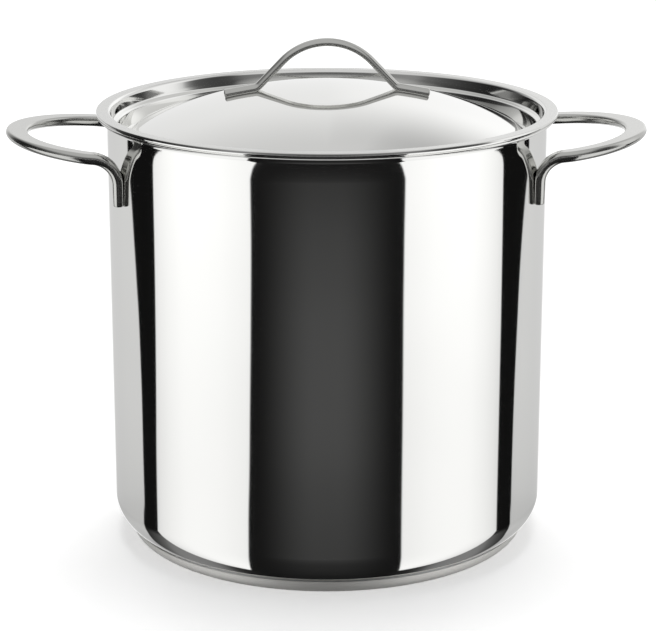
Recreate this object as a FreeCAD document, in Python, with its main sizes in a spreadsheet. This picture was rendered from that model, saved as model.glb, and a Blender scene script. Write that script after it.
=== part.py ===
"""Water bath canner: a lidded steel stockpot with welded bar handles and a wire jar rack.

Millimetres, +Z up. The origin is the centre of the base's underside, +X runs through
the right side handle and -Y is the front. Every driving size is a cell of the "Sizes"
sheet, and the features are bound to those cells.
"""

import FreeCAD
import Part
import math
import os
import Sketcher

SIZES = {
    # Pot
    "pot_radius": 150.0,
    "pot_height": 297.5,
    "pot_wall": 1.0,
    "corner_radius": 22.0,
    "lip_bend": 4.0,
    "lip_hem_width": 1.2,
    "lip_hem_height": 1.8,
    # Layered base under the pot
    "base_thickness": 7.3,
    "capsule_inset": 10.5,
    "capsule_skin": 0.6,
    "capsule_edge": 9.0,
    # Side handles
    "bar_width": 15.0,
    "bar_thickness": 6.7,
    "arm_width": 12.5,
    "arm_thickness": 8.0,
    "arm_bearing": 5.0,
    "leg_width": 6.6,
    "leg_thickness": 5.8,
    "leg_flat": 2.4,
    "leg_spread": 62.4,
    "leg_length": 36.5,
    "leg_bend": 21.5,
    "arm_drop": 15.0,
    "seat_depth": 0.1,
    "grip_reach": 61.6,
    "grip_rise": 5.5,
    "shoulder_radius": 20.0,
    # Lid
    "lid_overhang": 7.0,
    "lid_wall": 1.0,
    "lid_gap": 0.3,
    "lid_hem_height": 2.9,
    "lid_hem_width": 6.0,
    "lid_fit": 1.0,
    "flange_round": 2.5,
    "recess_draft": 1.0,
    "recess_step_drop": 8.7,
    "recess_step_width": 3.5,
    "recess_step_fall": 1.5,
    "recess_lower_draft": 1.8,
    "recess_depth": 20.2,
    "groove_width": 1.2,
    "bank_toe_width": 2.5,
    "bank_toe_height": 2.0,
    "bank_width": 10.5,
    "bank_underside_shift": 0.8,
    "dome_height": 14.8,
    "dome_rise": 26.7,
    # Lid handle
    "loop_width": 8.5,
    "loop_thickness": 5.0,
    "loop_height": 27.1,
    "loop_bend": 46.2,
    "loop_end": 71.0,
    "loop_crown_round": 39.5,
    "loop_foot_round": 9.0,
    # Jar rack
    "rack_clearance": 0.3,
    "rack_foot_height": 16.0,
    "rack_foot_span": 22.0,
    "rack_foot_round": 5.0,
    "wire_radius": 2.0,
    "rim_wire_radius": 2.5,
    "weld_gap": 0.05,
    "rack_side_gap": 10.5,
    "rack_inner_radius": 30.0,
    "spoke_overhang": 2.0,
    # Lifting bails of the rack
    "bail_headroom": 69.5,
    "bail_round": 22.0,
    "bail_foot_round": 5.0,
    "bail_pin_reach": 2.5,
    "pin_clearance": 0.05,
    "eye_wall": 1.8,
    "eye_length": 5.0,
    "eye_offset": 62.0,
    "eye_side_gap": 0.5,
    "eye_post": 2.85,
}
SPOKES = 8
FEET = 4
# Outline of the handle bars' D section, as shares of half the width and the thickness.
EDGE_SHARE = 0.3
BOW_SHARES = ((0.8, 0.74), (0.42, 0.965))
NEAR = 1e-6


class Size:
    """A number together with the sheet expression that gives it."""

    def __init__(self, number, text=None):
        self.number = float(number)
        self.text = text if text is not None else repr(float(number))

    def join(self, sign, other, number):
        """Combine with another value into a Size with both number and expression."""
        return Size(number, f"({self.text} {sign} {as_size(other).text})")

    def __add__(self, other):
        return self.join("+", other, self.number + as_size(other).number)

    def __sub__(self, other):
        return self.join("-", other, self.number - as_size(other).number)

    def __mul__(self, other):
        return self.join("*", other, self.number * as_size(other).number)

    def __truediv__(self, other):
        return self.join("/", other, self.number / as_size(other).number)


def as_size(value):
    """The value itself if it is a Size, or a plain number turned into one."""
    return value if isinstance(value, Size) else Size(value)


def root(size):
    """Square root of a Size."""
    return Size(math.sqrt(size.number), f"sqrt({size.text})")


class Sheet:
    """The spreadsheet of driving sizes; each alias reads as an attribute."""

    def __init__(self, doc):
        self.object = doc.addObject("Spreadsheet::Sheet", "Sizes")
        for row, (alias, number) in enumerate(SIZES.items(), start=1):
            self.object.set(f"A{row}", alias)
            self.object.set(f"B{row}", str(number))
            self.object.setAlias(f"B{row}", alias)
        doc.recompute()

    def __getattr__(self, alias):
        return Size(getattr(self.object, alias), f"Sizes.{alias}")


# ---------------------------------------------------------------- drawing helpers


def new_body(doc, label):
    """Empty body whose label names its file."""
    body = doc.addObject("PartDesign::Body", label)
    body.Label = label
    return body


def origin_plane(body, role):
    return next(f for f in body.Origin.OriginFeatures if f.Role == role)


def new_sketch(body, name, role):
    """Sketch on one of the body's own origin planes."""
    sketch = body.newObject("Sketcher::SketchObject", name)
    sketch.AttachmentSupport = [(origin_plane(body, role), "")]
    sketch.MapMode = "FlatFace"
    return sketch


def point_at(pair):
    return FreeCAD.Vector(pair[0].number, pair[1].number, 0)


def arc_between(start, end, radius, clockwise):
    """Circular arc from start to end, no more than half a turn."""
    chord = end - start
    middle = (start + end) * 0.5
    rise = math.sqrt(max(radius**2 - (chord.Length / 2) ** 2, 0.0))
    left = FreeCAD.Vector(-chord.y, chord.x, 0).normalize()
    centre = middle - left * rise if clockwise else middle + left * rise
    ends = (end, start) if clockwise else (start, end)
    angles = [math.atan2(p.y - centre.y, p.x - centre.x) for p in ends]
    return Part.ArcOfCircle(Part.Circle(centre, FreeCAD.Vector(0, 0, 1), radius), *angles)


def pin_down(sketch, edge, end, pair):
    """Fix one sketch point at an (across, up) pair of Sizes."""
    across, up = pair
    if abs(across.number) < NEAR:
        sketch.addConstraint(Sketcher.Constraint("PointOnObject", edge, end, -2))
    else:
        index = sketch.addConstraint(
            Sketcher.Constraint("DistanceX", -1, 1, edge, end, across.number)
        )
        sketch.setExpression(f"Constraints[{index}]", across.text)
    if abs(up.number) < NEAR:
        sketch.addConstraint(Sketcher.Constraint("PointOnObject", edge, end, -1))
    else:
        index = sketch.addConstraint(
            Sketcher.Constraint("DistanceY", -1, 1, edge, end, up.number)
        )
        sketch.setExpression(f"Constraints[{index}]", up.text)


def draw_outline(sketch, corners, arcs=None, closed=True):
    """Draw lines and arcs through the corners, each bound to the sheet.

    corners are (across, up) pairs of Sizes. arcs maps the number of the edge that
    leaves a corner to (radius, clockwise).
    """
    arcs = arcs or {}
    count = len(corners)
    edges = count if closed else count - 1
    tails = []
    for number in range(edges):
        start = point_at(corners[number])
        end = point_at(corners[(number + 1) % count])
        if number in arcs:
            radius, clockwise = arcs[number]
            edge = sketch.addGeometry(arc_between(start, end, radius.number, clockwise))
            first, last = (2, 1) if clockwise else (1, 2)
            index = sketch.addConstraint(Sketcher.Constraint("Radius", edge, radius.number))
            sketch.setExpression(f"Constraints[{index}]", radius.text)
        else:
            edge = sketch.addGeometry(Part.LineSegment(start, end))
            first, last = 1, 2
        pin_down(sketch, edge, first, corners[number])
        if tails:
            sketch.addConstraint(Sketcher.Constraint("Coincident", *tails[-1], edge, first))
        else:
            head = (edge, first)
        tails.append((edge, last))
    if closed:
        sketch.addConstraint(Sketcher.Constraint("Coincident", *tails[-1], *head))
    else:
        pin_down(sketch, *tails[-1], corners[-1])


def turned_body(doc, label, corners, arcs=None):
    """Body turned about +Z from an outline in its XZ plane."""
    body = new_body(doc, label)
    sketch = new_sketch(body, f"{label}_section", "XZ_Plane")
    draw_outline(sketch, corners, arcs)
    doc.recompute()
    turn = body.newObject("PartDesign::Revolution", f"{label}_turn")
    turn.Profile = sketch
    turn.ReferenceAxis = (sketch, ["V_Axis"])
    turn.Angle = 360.0
    body.Tip = turn
    doc.recompute()
    return body


def bound(item, name, size):
    """Bind one property of an object to a Size."""
    item.setExpression(name, size.text)


def turn_about_z(degrees):
    return FreeCAD.Rotation(FreeCAD.Vector(0, 0, 1), degrees)


# ---------------------------------------------------------------- pot and base


def make_pot_body(doc, s):
    """Drawn pot: flat floor, rounded corner, plain wall and a turned-down pouring lip."""
    inside = s.pot_radius - s.pot_wall
    floor = s.base_thickness
    flat = s.pot_radius - s.corner_radius
    corner_top = floor + s.corner_radius
    lip = s.pot_radius + s.lip_bend
    bend_start = s.pot_height - s.pot_wall - s.lip_bend
    hem = lip + s.lip_hem_width
    zero = Size(0)
    corners = [
        (zero, floor),
        (flat, floor),
        (s.pot_radius, corner_top),
        (s.pot_radius, bend_start),
        (lip, s.pot_height - s.pot_wall),
        (lip, s.pot_height - s.lip_hem_height),
        (hem, s.pot_height - s.lip_hem_height),
        (hem, s.pot_height),
        (lip, s.pot_height),
        (inside, bend_start),
        (inside, corner_top),
        (flat, floor + s.pot_wall),
        (zero, floor + s.pot_wall),
    ]
    arcs = {
        1: (s.corner_radius, False),
        3: (s.lip_bend, True),
        8: (s.lip_bend + s.pot_wall, False),
        10: (s.corner_radius - s.pot_wall, True),
    }
    return turned_body(doc, "pot_body", corners, arcs)


def height_on_corner(s, radius):
    """Height of the pot's outer corner surface at a radius beyond the flat."""
    across = radius - (s.pot_radius - s.corner_radius)
    drop = root(s.corner_radius * s.corner_radius - across * across)
    return s.base_thickness + s.corner_radius - drop


def make_base_core(doc, s):
    """Aluminium heat-spreading disc sandwiched between the pot and the capsule."""
    edge = s.pot_radius - s.capsule_inset - s.capsule_skin
    flat = s.pot_radius - s.corner_radius
    zero = Size(0)
    corners = [
        (zero, s.capsule_skin),
        (edge - s.capsule_edge, s.capsule_skin),
        (edge, s.capsule_skin + s.capsule_edge),
        (edge, height_on_corner(s, edge)),
        (flat, s.base_thickness),
        (zero, s.base_thickness),
    ]
    arcs = {1: (s.capsule_edge, False), 3: (s.corner_radius, True)}
    return turned_body(doc, "base_core", corners, arcs)


def make_base_capsule(doc, s):
    """Steel cap that encloses the aluminium disc and meets the pot's corner."""
    edge = s.pot_radius - s.capsule_inset
    core = edge - s.capsule_skin
    bend = s.capsule_edge + s.capsule_skin
    zero = Size(0)
    corners = [
        (zero, zero),
        (edge - bend, zero),
        (edge, bend),
        (edge, height_on_corner(s, edge)),
        (core, height_on_corner(s, core)),
        (core, bend),
        (core - s.capsule_edge, s.capsule_skin),
        (zero, s.capsule_skin),
    ]
    arcs = {
        1: (bend, False),
        3: (s.corner_radius, True),
        5: (s.capsule_edge, True),
    }
    return turned_body(doc, "base_capsule", corners, arcs)


# ---------------------------------------------------------------- bar handles


def bar_section(origin, across, out, width, thickness, flat):
    """Bar section with a flat on one side and a bow on the other.

    origin is the middle of the flat, across runs along it and out leaves it. With a
    flat as wide as the bar the section is a D; with a narrow one it is nearly round.
    """
    half = width / 2
    seat = flat / 2
    edge = thickness * EDGE_SHARE

    def at(side, height):
        return origin + across * side + out * height

    left_bow = [at(-half * side, thickness * height) for side, height in BOW_SHARES]
    right_bow = [at(half * side, thickness * height) for side, height in BOW_SHARES]
    points = [at(half, edge), *right_bow, at(0, thickness), *reversed(left_bow), at(-half, edge)]
    rising, level, falling = out * thickness, across * -width, out * -thickness
    free = FreeCAD.Vector(0, 0, 0)
    bow = Part.BSplineCurve()
    bow.interpolate(
        Points=points,
        Tangents=[rising, free, free, level, free, free, falling],
        TangentFlags=[True, False, False, True, False, False, True],
    )
    base = Part.LineSegment(at(-seat, 0), at(seat, 0)).toShape()
    right = Part.LineSegment(at(seat, 0), at(half, edge)).toShape()
    left = Part.LineSegment(at(-half, edge), at(-seat, 0)).toShape()
    return Part.Wire([base, right, bow.toShape(), left])


def swept(path, *sections):
    """Solid swept along a path without twisting, through one or more sections."""
    shell = Part.BRepOffsetAPI.MakePipeShell(path)
    shell.setFrenetMode(False)
    for section in sections:
        shell.add(section, False, False)
    shell.build()
    shell.makeSolid()
    return shell.shape()


def grip_arc(tip, arm, inward, shoulder):
    """Centres of the shoulder's arc and of the grip's arc, and the grip's radius.

    The shoulder's arc leaves the arm radially and runs smoothly into the grip's arc,
    which crosses the middle plane squarely at the tip.
    """
    centre = arm + inward * shoulder
    back = centre.x - tip.x
    grip = (shoulder**2 - back**2 - centre.y**2) / (2 * (back + shoulder))
    hub = tip - FreeCAD.Vector(grip, 0, 0)
    return centre, hub, grip


def arm_frame(s):
    """Directions of the handle's arm: away from the pot, away but level, and its bow's side.

    The grip's plane rises away from the pot, and the arm lies in that plane.
    """
    bearing = math.radians(s.arm_bearing.number)
    rise = FreeCAD.Rotation(FreeCAD.Vector(0, -1, 0), s.grip_rise.number)
    away = rise.multVec(FreeCAD.Vector(math.cos(bearing), math.sin(bearing), 0))
    level = FreeCAD.Vector(away.x, away.y, 0).normalize()
    return away, level, rise.multVec(FreeCAD.Vector(0, 0, -1)), rise


def side_handle_path(s):
    """Half of the handle's path along the bar's flat, with its tip, arm and foot."""
    away, level, bow_side, rise = arm_frame(s)
    wall = s.pot_radius.number
    spread = s.leg_spread.number
    top = s.pot_height.number - s.arm_drop.number
    bend = s.leg_bend.number
    shoulder = s.shoulder_radius.number
    up = FreeCAD.Vector(0, 0, 1)
    foot = FreeCAD.Vector(math.sqrt(wall**2 - spread**2), spread, top - s.leg_length.number)
    level_share = FreeCAD.Vector(level).dot(away)
    knee = FreeCAD.Vector(foot.x, foot.y, top - bend * level_share)
    hinge = knee + level * bend
    arm = hinge - level * (bend * away.z) + up * (bend * level_share)
    half_bend = (level + up).normalize()
    bend_middle = hinge - (level * half_bend.dot(up) - up * half_bend.dot(level)) * bend
    bearing = math.radians(s.arm_bearing.number)
    inward = FreeCAD.Vector(math.sin(bearing), -math.cos(bearing), 0)
    level_tip = FreeCAD.Vector(wall + s.grip_reach.number, 0, arm.z)
    centre, hub, grip = grip_arc(level_tip, arm, inward, shoulder)
    meet = hub + (centre - hub).normalize() * grip
    half_turn = math.atan2(meet.y - hub.y, meet.x - hub.x) / 2
    grip_middle = hub + FreeCAD.Vector(math.cos(half_turn), math.sin(half_turn), 0) * grip
    along = (arm - centre).normalize() + (meet - centre).normalize()
    shoulder_middle = centre + along.normalize() * shoulder

    def raised(point):
        return arm + rise.multVec(point - arm)

    tip = raised(level_tip)
    pieces = [
        Part.Arc(tip, raised(grip_middle), raised(meet)).toShape(),
        Part.Arc(raised(meet), raised(shoulder_middle), arm).toShape(),
        Part.Arc(arm, bend_middle, knee).toShape(),
        Part.LineSegment(knee, foot).toShape(),
    ]
    return Part.Wire(pieces), tip, arm, foot


def make_side_handle(doc, s, label, side):
    """Bent bar: a rising grip with a flat top, whose two legs turn down against the wall."""
    path, tip, arm, foot = side_handle_path(s)
    away, level, bow_side, rise = arm_frame(s)
    outward = rise.multVec(FreeCAD.Vector(1, 0, 0))
    sections = [
        bar_section(tip, outward, bow_side, s.bar_width.number, s.bar_thickness.number,
                    s.bar_width.number),
        bar_section(arm, away.cross(bow_side), bow_side, s.arm_width.number,
                    s.arm_thickness.number, s.arm_width.number),
        bar_section(foot, FreeCAD.Vector(-level.y, level.x, 0), level, s.leg_width.number,
                    s.leg_thickness.number, s.leg_flat.number),
    ]
    half = swept(path, *sections)
    other = half.mirror(FreeCAD.Vector(0, 0, 0), FreeCAD.Vector(0, 1, 0))
    bar = half.fuse(other).removeSplitter()
    # The backs of the legs are formed to the round wall that they are welded to.
    slant = math.asin(s.leg_spread.number / s.pot_radius.number)
    slant -= math.radians(s.arm_bearing.number)
    seat = s.leg_flat.number / 2 * math.sin(slant) + s.seat_depth.number
    bar.translate(FreeCAD.Vector(-seat, 0, 0))
    wall = Part.makeCylinder(s.pot_radius.number, s.pot_height.number)
    handle = doc.addObject("Part::Feature", label)
    handle.Label = label
    handle.Shape = bar.cut(wall)
    turn = 0 if side > 0 else 180
    handle.Placement = FreeCAD.Placement(FreeCAD.Vector(0, 0, 0), turn_about_z(turn))
    return handle


# ---------------------------------------------------------------- lid


def lid_top(s):
    """Height of the lid's flat flange."""
    return s.pot_height + s.lid_gap + s.lid_hem_height


def recess_wall(s):
    """Radius where the lid's flange turns down inside the pot's mouth."""
    return s.pot_radius - s.pot_wall - s.lid_fit - s.lid_wall


def recess_step(s):
    """Inner radius of the step halfway down the lid's recess."""
    return recess_wall(s) - s.recess_draft - s.recess_step_width


def groove_radius(s):
    """Inner radius of the flat bottom of the lid's groove."""
    return recess_step(s) - s.recess_lower_draft - s.groove_width


def dome_shoulder(s):
    """Radius where the lid's dome ends and the bank down to the groove begins."""
    return groove_radius(s) - s.bank_width


def dome_radius(s):
    """Radius of the sphere that rises by dome_rise from the shoulder to the crown."""
    shoulder = dome_shoulder(s)
    return (shoulder * shoulder + s.dome_rise * s.dome_rise) / (s.dome_rise * 2)


def dome_at(s, radius, thickness=0):
    """Height of the lid's dome at a radius, on the outside or a thickness below it."""
    crown = lid_top(s) + s.dome_height
    ball = dome_radius(s) - thickness
    return crown - dome_radius(s) + root(ball * ball - radius * radius)


def make_lid_pan(doc, s):
    """Pressed lid: hemmed edge, flat flange, stepped recess, groove and a low dome."""
    wall = s.lid_wall
    top = lid_top(s)
    under = top - wall
    seat = s.pot_height + s.lid_gap
    edge = s.pot_radius + s.lid_overhang
    hem = edge - s.lid_hem_width
    flange = recess_wall(s)
    turn = s.flange_round
    step_out = flange - s.recess_draft
    step_in = recess_step(s)
    step_top = top - s.recess_step_drop
    step_low = step_top - s.recess_step_fall
    bottom = top - s.recess_depth
    groove = groove_radius(s)
    groove_out = groove + s.groove_width
    toe = groove - s.bank_toe_width
    toe_top = bottom + s.bank_toe_height
    shoulder = dome_shoulder(s)
    shift = s.bank_underside_shift
    zero = Size(0)
    corners = [
        (zero, dome_at(s, zero)),
        (shoulder, dome_at(s, shoulder)),
        (toe, toe_top),
        (groove, bottom),
        (groove_out, bottom),
        (step_in, step_low),
        (step_out, step_top),
        (flange, top - turn),
        (flange + turn, top),
        (edge, top),
        (edge, seat),
        (hem, seat),
        (hem, under),
        (flange + turn, under),
        (flange + wall, top - turn),
        (step_out + wall, step_top - wall),
        (step_in + wall, step_low - wall),
        (groove_out + wall, bottom - wall),
        (groove - wall, bottom - wall),
        (toe - shift, toe_top - wall),
        (shoulder - shift, dome_at(s, shoulder - shift, wall)),
        (zero, dome_at(s, zero, wall)),
    ]
    arcs = {
        0: (dome_radius(s), True),
        7: (turn, True),
        13: (turn - wall, False),
        20: (dome_radius(s) - wall, False),
    }
    return turned_body(doc, "lid_pan", corners, arcs)


def arch_apex(across, height, crown, radius):
    """Height at which the two lines tangent to an arch, one from each foot, would meet.

    The feet stand at (+-across, height) and the arch's highest point is at crown.
    """
    middle = crown - radius
    slope = math.atan2(height - middle, across)
    slope += math.acos(radius / math.hypot(across, height - middle))
    return middle + radius / math.sin(slope)


def make_lid_handle(doc, s):
    """Bent bar loop: two short feet lie on the dome and the grip arches over them."""
    crown = lid_top(s).number + s.dome_height.number
    ball = dome_radius(s).number
    half = s.loop_width.number / 2
    sunk = s.seat_depth.number

    def on_dome(across):
        return crown - ball + math.sqrt(ball**2 - across**2 - half**2) - sunk

    end, bend = s.loop_end.number, s.loop_bend.number
    crown_round, foot_round = s.loop_crown_round.number, s.loop_foot_round.number
    apex = arch_apex(bend, on_dome(bend), crown + s.loop_height.number, crown_round)
    heights = {end: on_dome(end), bend: on_dome(bend), 0: apex}
    corners = [FreeCAD.Vector(x, 0, heights[abs(x)]) for x in (-end, -bend, 0, bend, end)]
    path = rounded_path(corners, [foot_round, crown_round, foot_round])
    along = (corners[1] - corners[0]).normalize()
    up = FreeCAD.Vector(-along.z, 0, along.x)
    across = FreeCAD.Vector(0, 1, 0)
    section = bar_section(
        corners[0],
        across,
        up,
        s.loop_width.number,
        s.loop_thickness.number,
        s.loop_width.number,
    )
    bar = swept(path, section)
    # The feet's undersides are formed to the dome that they are welded to.
    dome = Part.makeSphere(ball, FreeCAD.Vector(0, 0, crown - ball))
    handle = doc.addObject("Part::Feature", "lid_handle")
    handle.Label = "lid_handle"
    handle.Shape = bar.cut(dome)
    handle.Placement = FreeCAD.Placement()
    return handle


def rounded_path(corners, radii):
    """Wire of straight runs through the corners, joined by tangent arcs."""
    pieces = []
    start = corners[0]
    for number, radius in enumerate(radii, start=1):
        corner = corners[number]
        back = (corners[number - 1] - corner).normalize()
        ahead = (corners[number + 1] - corner).normalize()
        half_angle = back.getAngle(ahead) / 2
        reach = radius / math.tan(half_angle)
        centre = corner + (back + ahead).normalize() * (radius / math.sin(half_angle))
        enter = corner + back * reach
        leave = corner + ahead * reach
        middle = centre + (corner - centre).normalize() * radius
        if (enter - start).Length > NEAR:
            pieces.append(Part.LineSegment(start, enter).toShape())
        pieces.append(Part.Arc(enter, middle, leave).toShape())
        start = leave
    pieces.append(Part.LineSegment(start, corners[-1]).toShape())
    return Part.Wire(pieces)


# ---------------------------------------------------------------- jar rack


def rim_height(s):
    """Height of the centre of the rack's outer ring."""
    floor = s.base_thickness + s.pot_wall + s.rack_clearance
    return floor + s.rack_foot_height + s.rim_wire_radius


def spoke_height(s):
    """Height of the centre lines of the spokes, which lie on the rings."""
    return rim_height(s) + s.rim_wire_radius + s.wire_radius + s.weld_gap


def rack_radius(s):
    """Radius of the rack's outer ring."""
    return s.pot_radius - s.pot_wall - s.rack_side_gap - s.rim_wire_radius


def eye_radius(s):
    """Outer radius of the bail's eyes."""
    return s.wire_radius + s.pin_clearance + s.eye_wall


def eye_rise(s):
    """Height of the bail's pivot above the centre of the outer ring."""
    return s.rim_wire_radius + s.eye_post + eye_radius(s)


def eye_centre(s):
    """Distance of the bail's pivot from the middle plane, and its height."""
    radius = rack_radius(s)
    across = root(radius * radius - s.eye_offset * s.eye_offset)
    return across, rim_height(s) + eye_rise(s)


def make_ring(doc, label, radius, wire, height):
    """Closed wire ring."""
    ring = doc.addObject("Part::Torus", label)
    ring.Label = label
    bound(ring, "Radius1", radius)
    bound(ring, "Radius2", wire)
    bound(ring, "Placement.Base.z", height)
    return ring


def make_rack_rings(doc, s):
    """Outer rim ring and the two smaller rings hung under the spokes."""
    lower = spoke_height(s) - s.wire_radius * 2 - s.weld_gap
    middle = (rack_radius(s) + s.rack_inner_radius) * 0.5
    return [
        make_ring(doc, "rack_outer_ring", rack_radius(s), s.rim_wire_radius, rim_height(s)),
        make_ring(doc, "rack_middle_ring", middle, s.wire_radius, lower),
        make_ring(doc, "rack_inner_ring", s.rack_inner_radius, s.wire_radius, lower),
    ]


def make_spoke(doc, s, number):
    """Straight wire laid across the three rings, from the inner one to the rim."""
    label = f"rack_spoke_{number + 1}"
    body = new_body(doc, label)
    sketch = new_sketch(body, f"{label}_section", "YZ_Plane")
    edge = sketch.addGeometry(
        Part.Circle(FreeCAD.Vector(0, 0, 0), FreeCAD.Vector(0, 0, 1), s.wire_radius.number)
    )
    sketch.addConstraint(Sketcher.Constraint("Coincident", edge, 3, -1, 1))
    index = sketch.addConstraint(Sketcher.Constraint("Radius", edge, s.wire_radius.number))
    sketch.setExpression(f"Constraints[{index}]", s.wire_radius.text)
    doc.recompute()
    pad = body.newObject("PartDesign::Pad", f"{label}_run")
    pad.Profile = sketch
    inner = s.rack_inner_radius - s.spoke_overhang
    bound(pad, "Length", rack_radius(s) + s.rim_wire_radius - inner)
    body.Tip = pad
    angle = math.radians(360.0 * number / SPOKES)
    along = FreeCAD.Vector(math.cos(angle), math.sin(angle), 0) * inner.number
    along.z = spoke_height(s).number
    body.Placement = FreeCAD.Placement(along, turn_about_z(math.degrees(angle)))
    return body


def wire_body(doc, s, label, corners, arcs, start, role_path, role_section):
    """Half of a bent round wire swept along a sketched path, then mirrored."""
    body = new_body(doc, label)
    path = new_sketch(body, f"{label}_path", role_path)
    draw_outline(path, corners, arcs, closed=False)
    section = new_sketch(body, f"{label}_section", role_section)
    radius = s.wire_radius
    edge = section.addGeometry(
        Part.Circle(point_at(start), FreeCAD.Vector(0, 0, 1), radius.number)
    )
    pin_down(section, edge, 3, start)
    index = section.addConstraint(Sketcher.Constraint("Radius", edge, radius.number))
    section.setExpression(f"Constraints[{index}]", radius.text)
    doc.recompute()
    pipe = body.newObject("PartDesign::AdditivePipe", f"{label}_bend")
    pipe.Profile = section
    pipe.Spine = (path, [f"Edge{n + 1}" for n in range(len(corners) - 1)])
    body.Tip = pipe
    doc.recompute()
    mirror = body.newObject("PartDesign::Mirrored", f"{label}_mirror")
    mirror.Originals = [pipe]
    mirror.MirrorPlane = (origin_plane(body, role_section), [""])
    body.Tip = mirror
    doc.recompute()
    return body


def make_foot(doc, s, number):
    """U-shaped wire foot that stands under the outer half of every second spoke."""
    label = f"rack_foot_{number + 1}"
    half = s.rack_foot_span * 0.5
    turn = s.rack_foot_round
    bottom = s.base_thickness + s.pot_wall + s.rack_clearance + s.wire_radius
    top = spoke_height(s) - s.wire_radius - s.weld_gap
    zero = Size(0)
    corners = [(zero, bottom), (half - turn, bottom), (half, bottom + turn), (half, top)]
    arcs = {1: (turn, False)}
    start = (zero, bottom)
    body = wire_body(doc, s, label, corners, arcs, start, "XZ_Plane", "YZ_Plane")
    angle = 360.0 * (number + 0.5) / FEET
    radius = s.pot_radius - s.corner_radius - half - s.wire_radius
    spot = turn_about_z(angle).multVec(FreeCAD.Vector(radius.number, 0, 0))
    body.Placement = FreeCAD.Placement(spot, turn_about_z(angle))
    return body


def make_bail_eye(doc, s, label, side, end):
    """Eye on a short post: a bushed ring standing on the rim for one end of a bail."""
    across, height = eye_centre(s)
    bore = s.wire_radius + s.pin_clearance
    drop = eye_rise(s) - s.rim_wire_radius - s.weld_gap
    ring = doc.addObject("Part::Cylinder", f"{label}_ring")
    bound(ring, "Radius", eye_radius(s))
    bound(ring, "Height", s.eye_length)
    post = doc.addObject("Part::Cylinder", f"{label}_post")
    bound(post, "Radius", s.wire_radius)
    bound(post, "Height", drop)
    hole = doc.addObject("Part::Cylinder", f"{label}_bore")
    bound(hole, "Radius", bore)
    bound(hole, "Height", s.eye_length)
    tip_over = FreeCAD.Rotation(FreeCAD.Vector(1, 0, 0), 90)
    half = s.eye_length.number / 2
    for piece in (ring, hole):
        piece.Placement = FreeCAD.Placement(FreeCAD.Vector(0, half, 0), tip_over)
    below = FreeCAD.Vector(0, 0, -drop.number)
    post.Placement = FreeCAD.Placement(below, FreeCAD.Rotation())
    joined = doc.addObject("Part::Fuse", f"{label}_joined")
    joined.Base = ring
    joined.Tool = post
    eye = doc.addObject("Part::Cut", label)
    eye.Label = label
    eye.Base = joined
    eye.Tool = hole
    spot = FreeCAD.Vector(side * across.number, end * s.eye_offset.number, height.number)
    eye.Placement = FreeCAD.Placement(spot, FreeCAD.Rotation())
    return eye


def make_bail(doc, s, label, side):
    """Tall wire lifting handle whose turned-out ends pivot in two eyes of the rim."""
    across, height = eye_centre(s)
    turn = s.bail_round
    knee = s.bail_foot_round
    half = s.eye_offset - s.eye_length * 0.5 - s.eye_side_gap - knee
    pin_end = s.eye_offset + s.eye_length * 0.5 + s.bail_pin_reach
    top = s.pot_height - s.bail_headroom - height
    zero = Size(0)
    corners = [
        (zero, top),
        (half - turn, top),
        (half, top - turn),
        (half, knee),
        (half + knee, zero),
        (pin_end, zero),
    ]
    arcs = {1: (turn, True), 3: (knee, False)}
    body = wire_body(doc, s, label, corners, arcs, (zero, top), "YZ_Plane", "XZ_Plane")
    spot = FreeCAD.Vector(side * across.number, 0, height.number)
    body.Placement = FreeCAD.Placement(spot, FreeCAD.Rotation())
    return body


# ---------------------------------------------------------------- whole canner


def build(doc):
    """Make every sub-part and return them in order."""
    s = Sheet(doc)
    parts = [
        make_pot_body(doc, s),
        make_base_core(doc, s),
        make_base_capsule(doc, s),
        make_side_handle(doc, s, "right_side_handle", 1),
        make_side_handle(doc, s, "left_side_handle", -1),
        make_lid_pan(doc, s),
        make_lid_handle(doc, s),
    ]
    parts += make_rack_rings(doc, s)
    parts += [make_spoke(doc, s, number) for number in range(SPOKES)]
    parts += [make_foot(doc, s, number) for number in range(FEET)]
    for word, side in (("left", -1), ("right", 1)):
        for place, end in (("front", -1), ("back", 1)):
            parts.append(make_bail_eye(doc, s, f"rack_eye_{word}_{place}", side, end))
        parts.append(make_bail(doc, s, f"rack_bail_{word}", side))
    doc.recompute()
    return parts


def check(doc, parts):
    """Stop if any object failed to compute or any sub-part is not a valid solid."""
    for item in doc.Objects:
        if "Invalid" in item.State or "Error" in item.State:
            raise RuntimeError(f"{item.Label} did not compute: {item.State}")
    for part in parts:
        shape = part.Shape
        if shape.isNull() or not shape.isValid() or len(shape.Solids) != 1:
            raise RuntimeError(f"{part.Label} is not one valid solid")


def main():
    doc = FreeCAD.newDocument("water_bath_canner")
    parts = build(doc)
    check(doc, parts)
    os.makedirs("parts", exist_ok=True)
    for part in parts:
        part.Shape.exportStep(f"parts/{part.Label}.step")


main()
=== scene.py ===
"""Water bath canner dressed for a studio view: a mirror-polished stockpot with its lid and jar rack.

Metres, +Z up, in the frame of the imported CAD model: the origin is the centre of the
base's underside, +X runs through the right side handle and -Y is the front.
"""

import enum
import logging
import math
from dataclasses import dataclass
from typing import Iterable, Sequence

import bmesh
import bpy
from mathutils import Matrix, Vector


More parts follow.
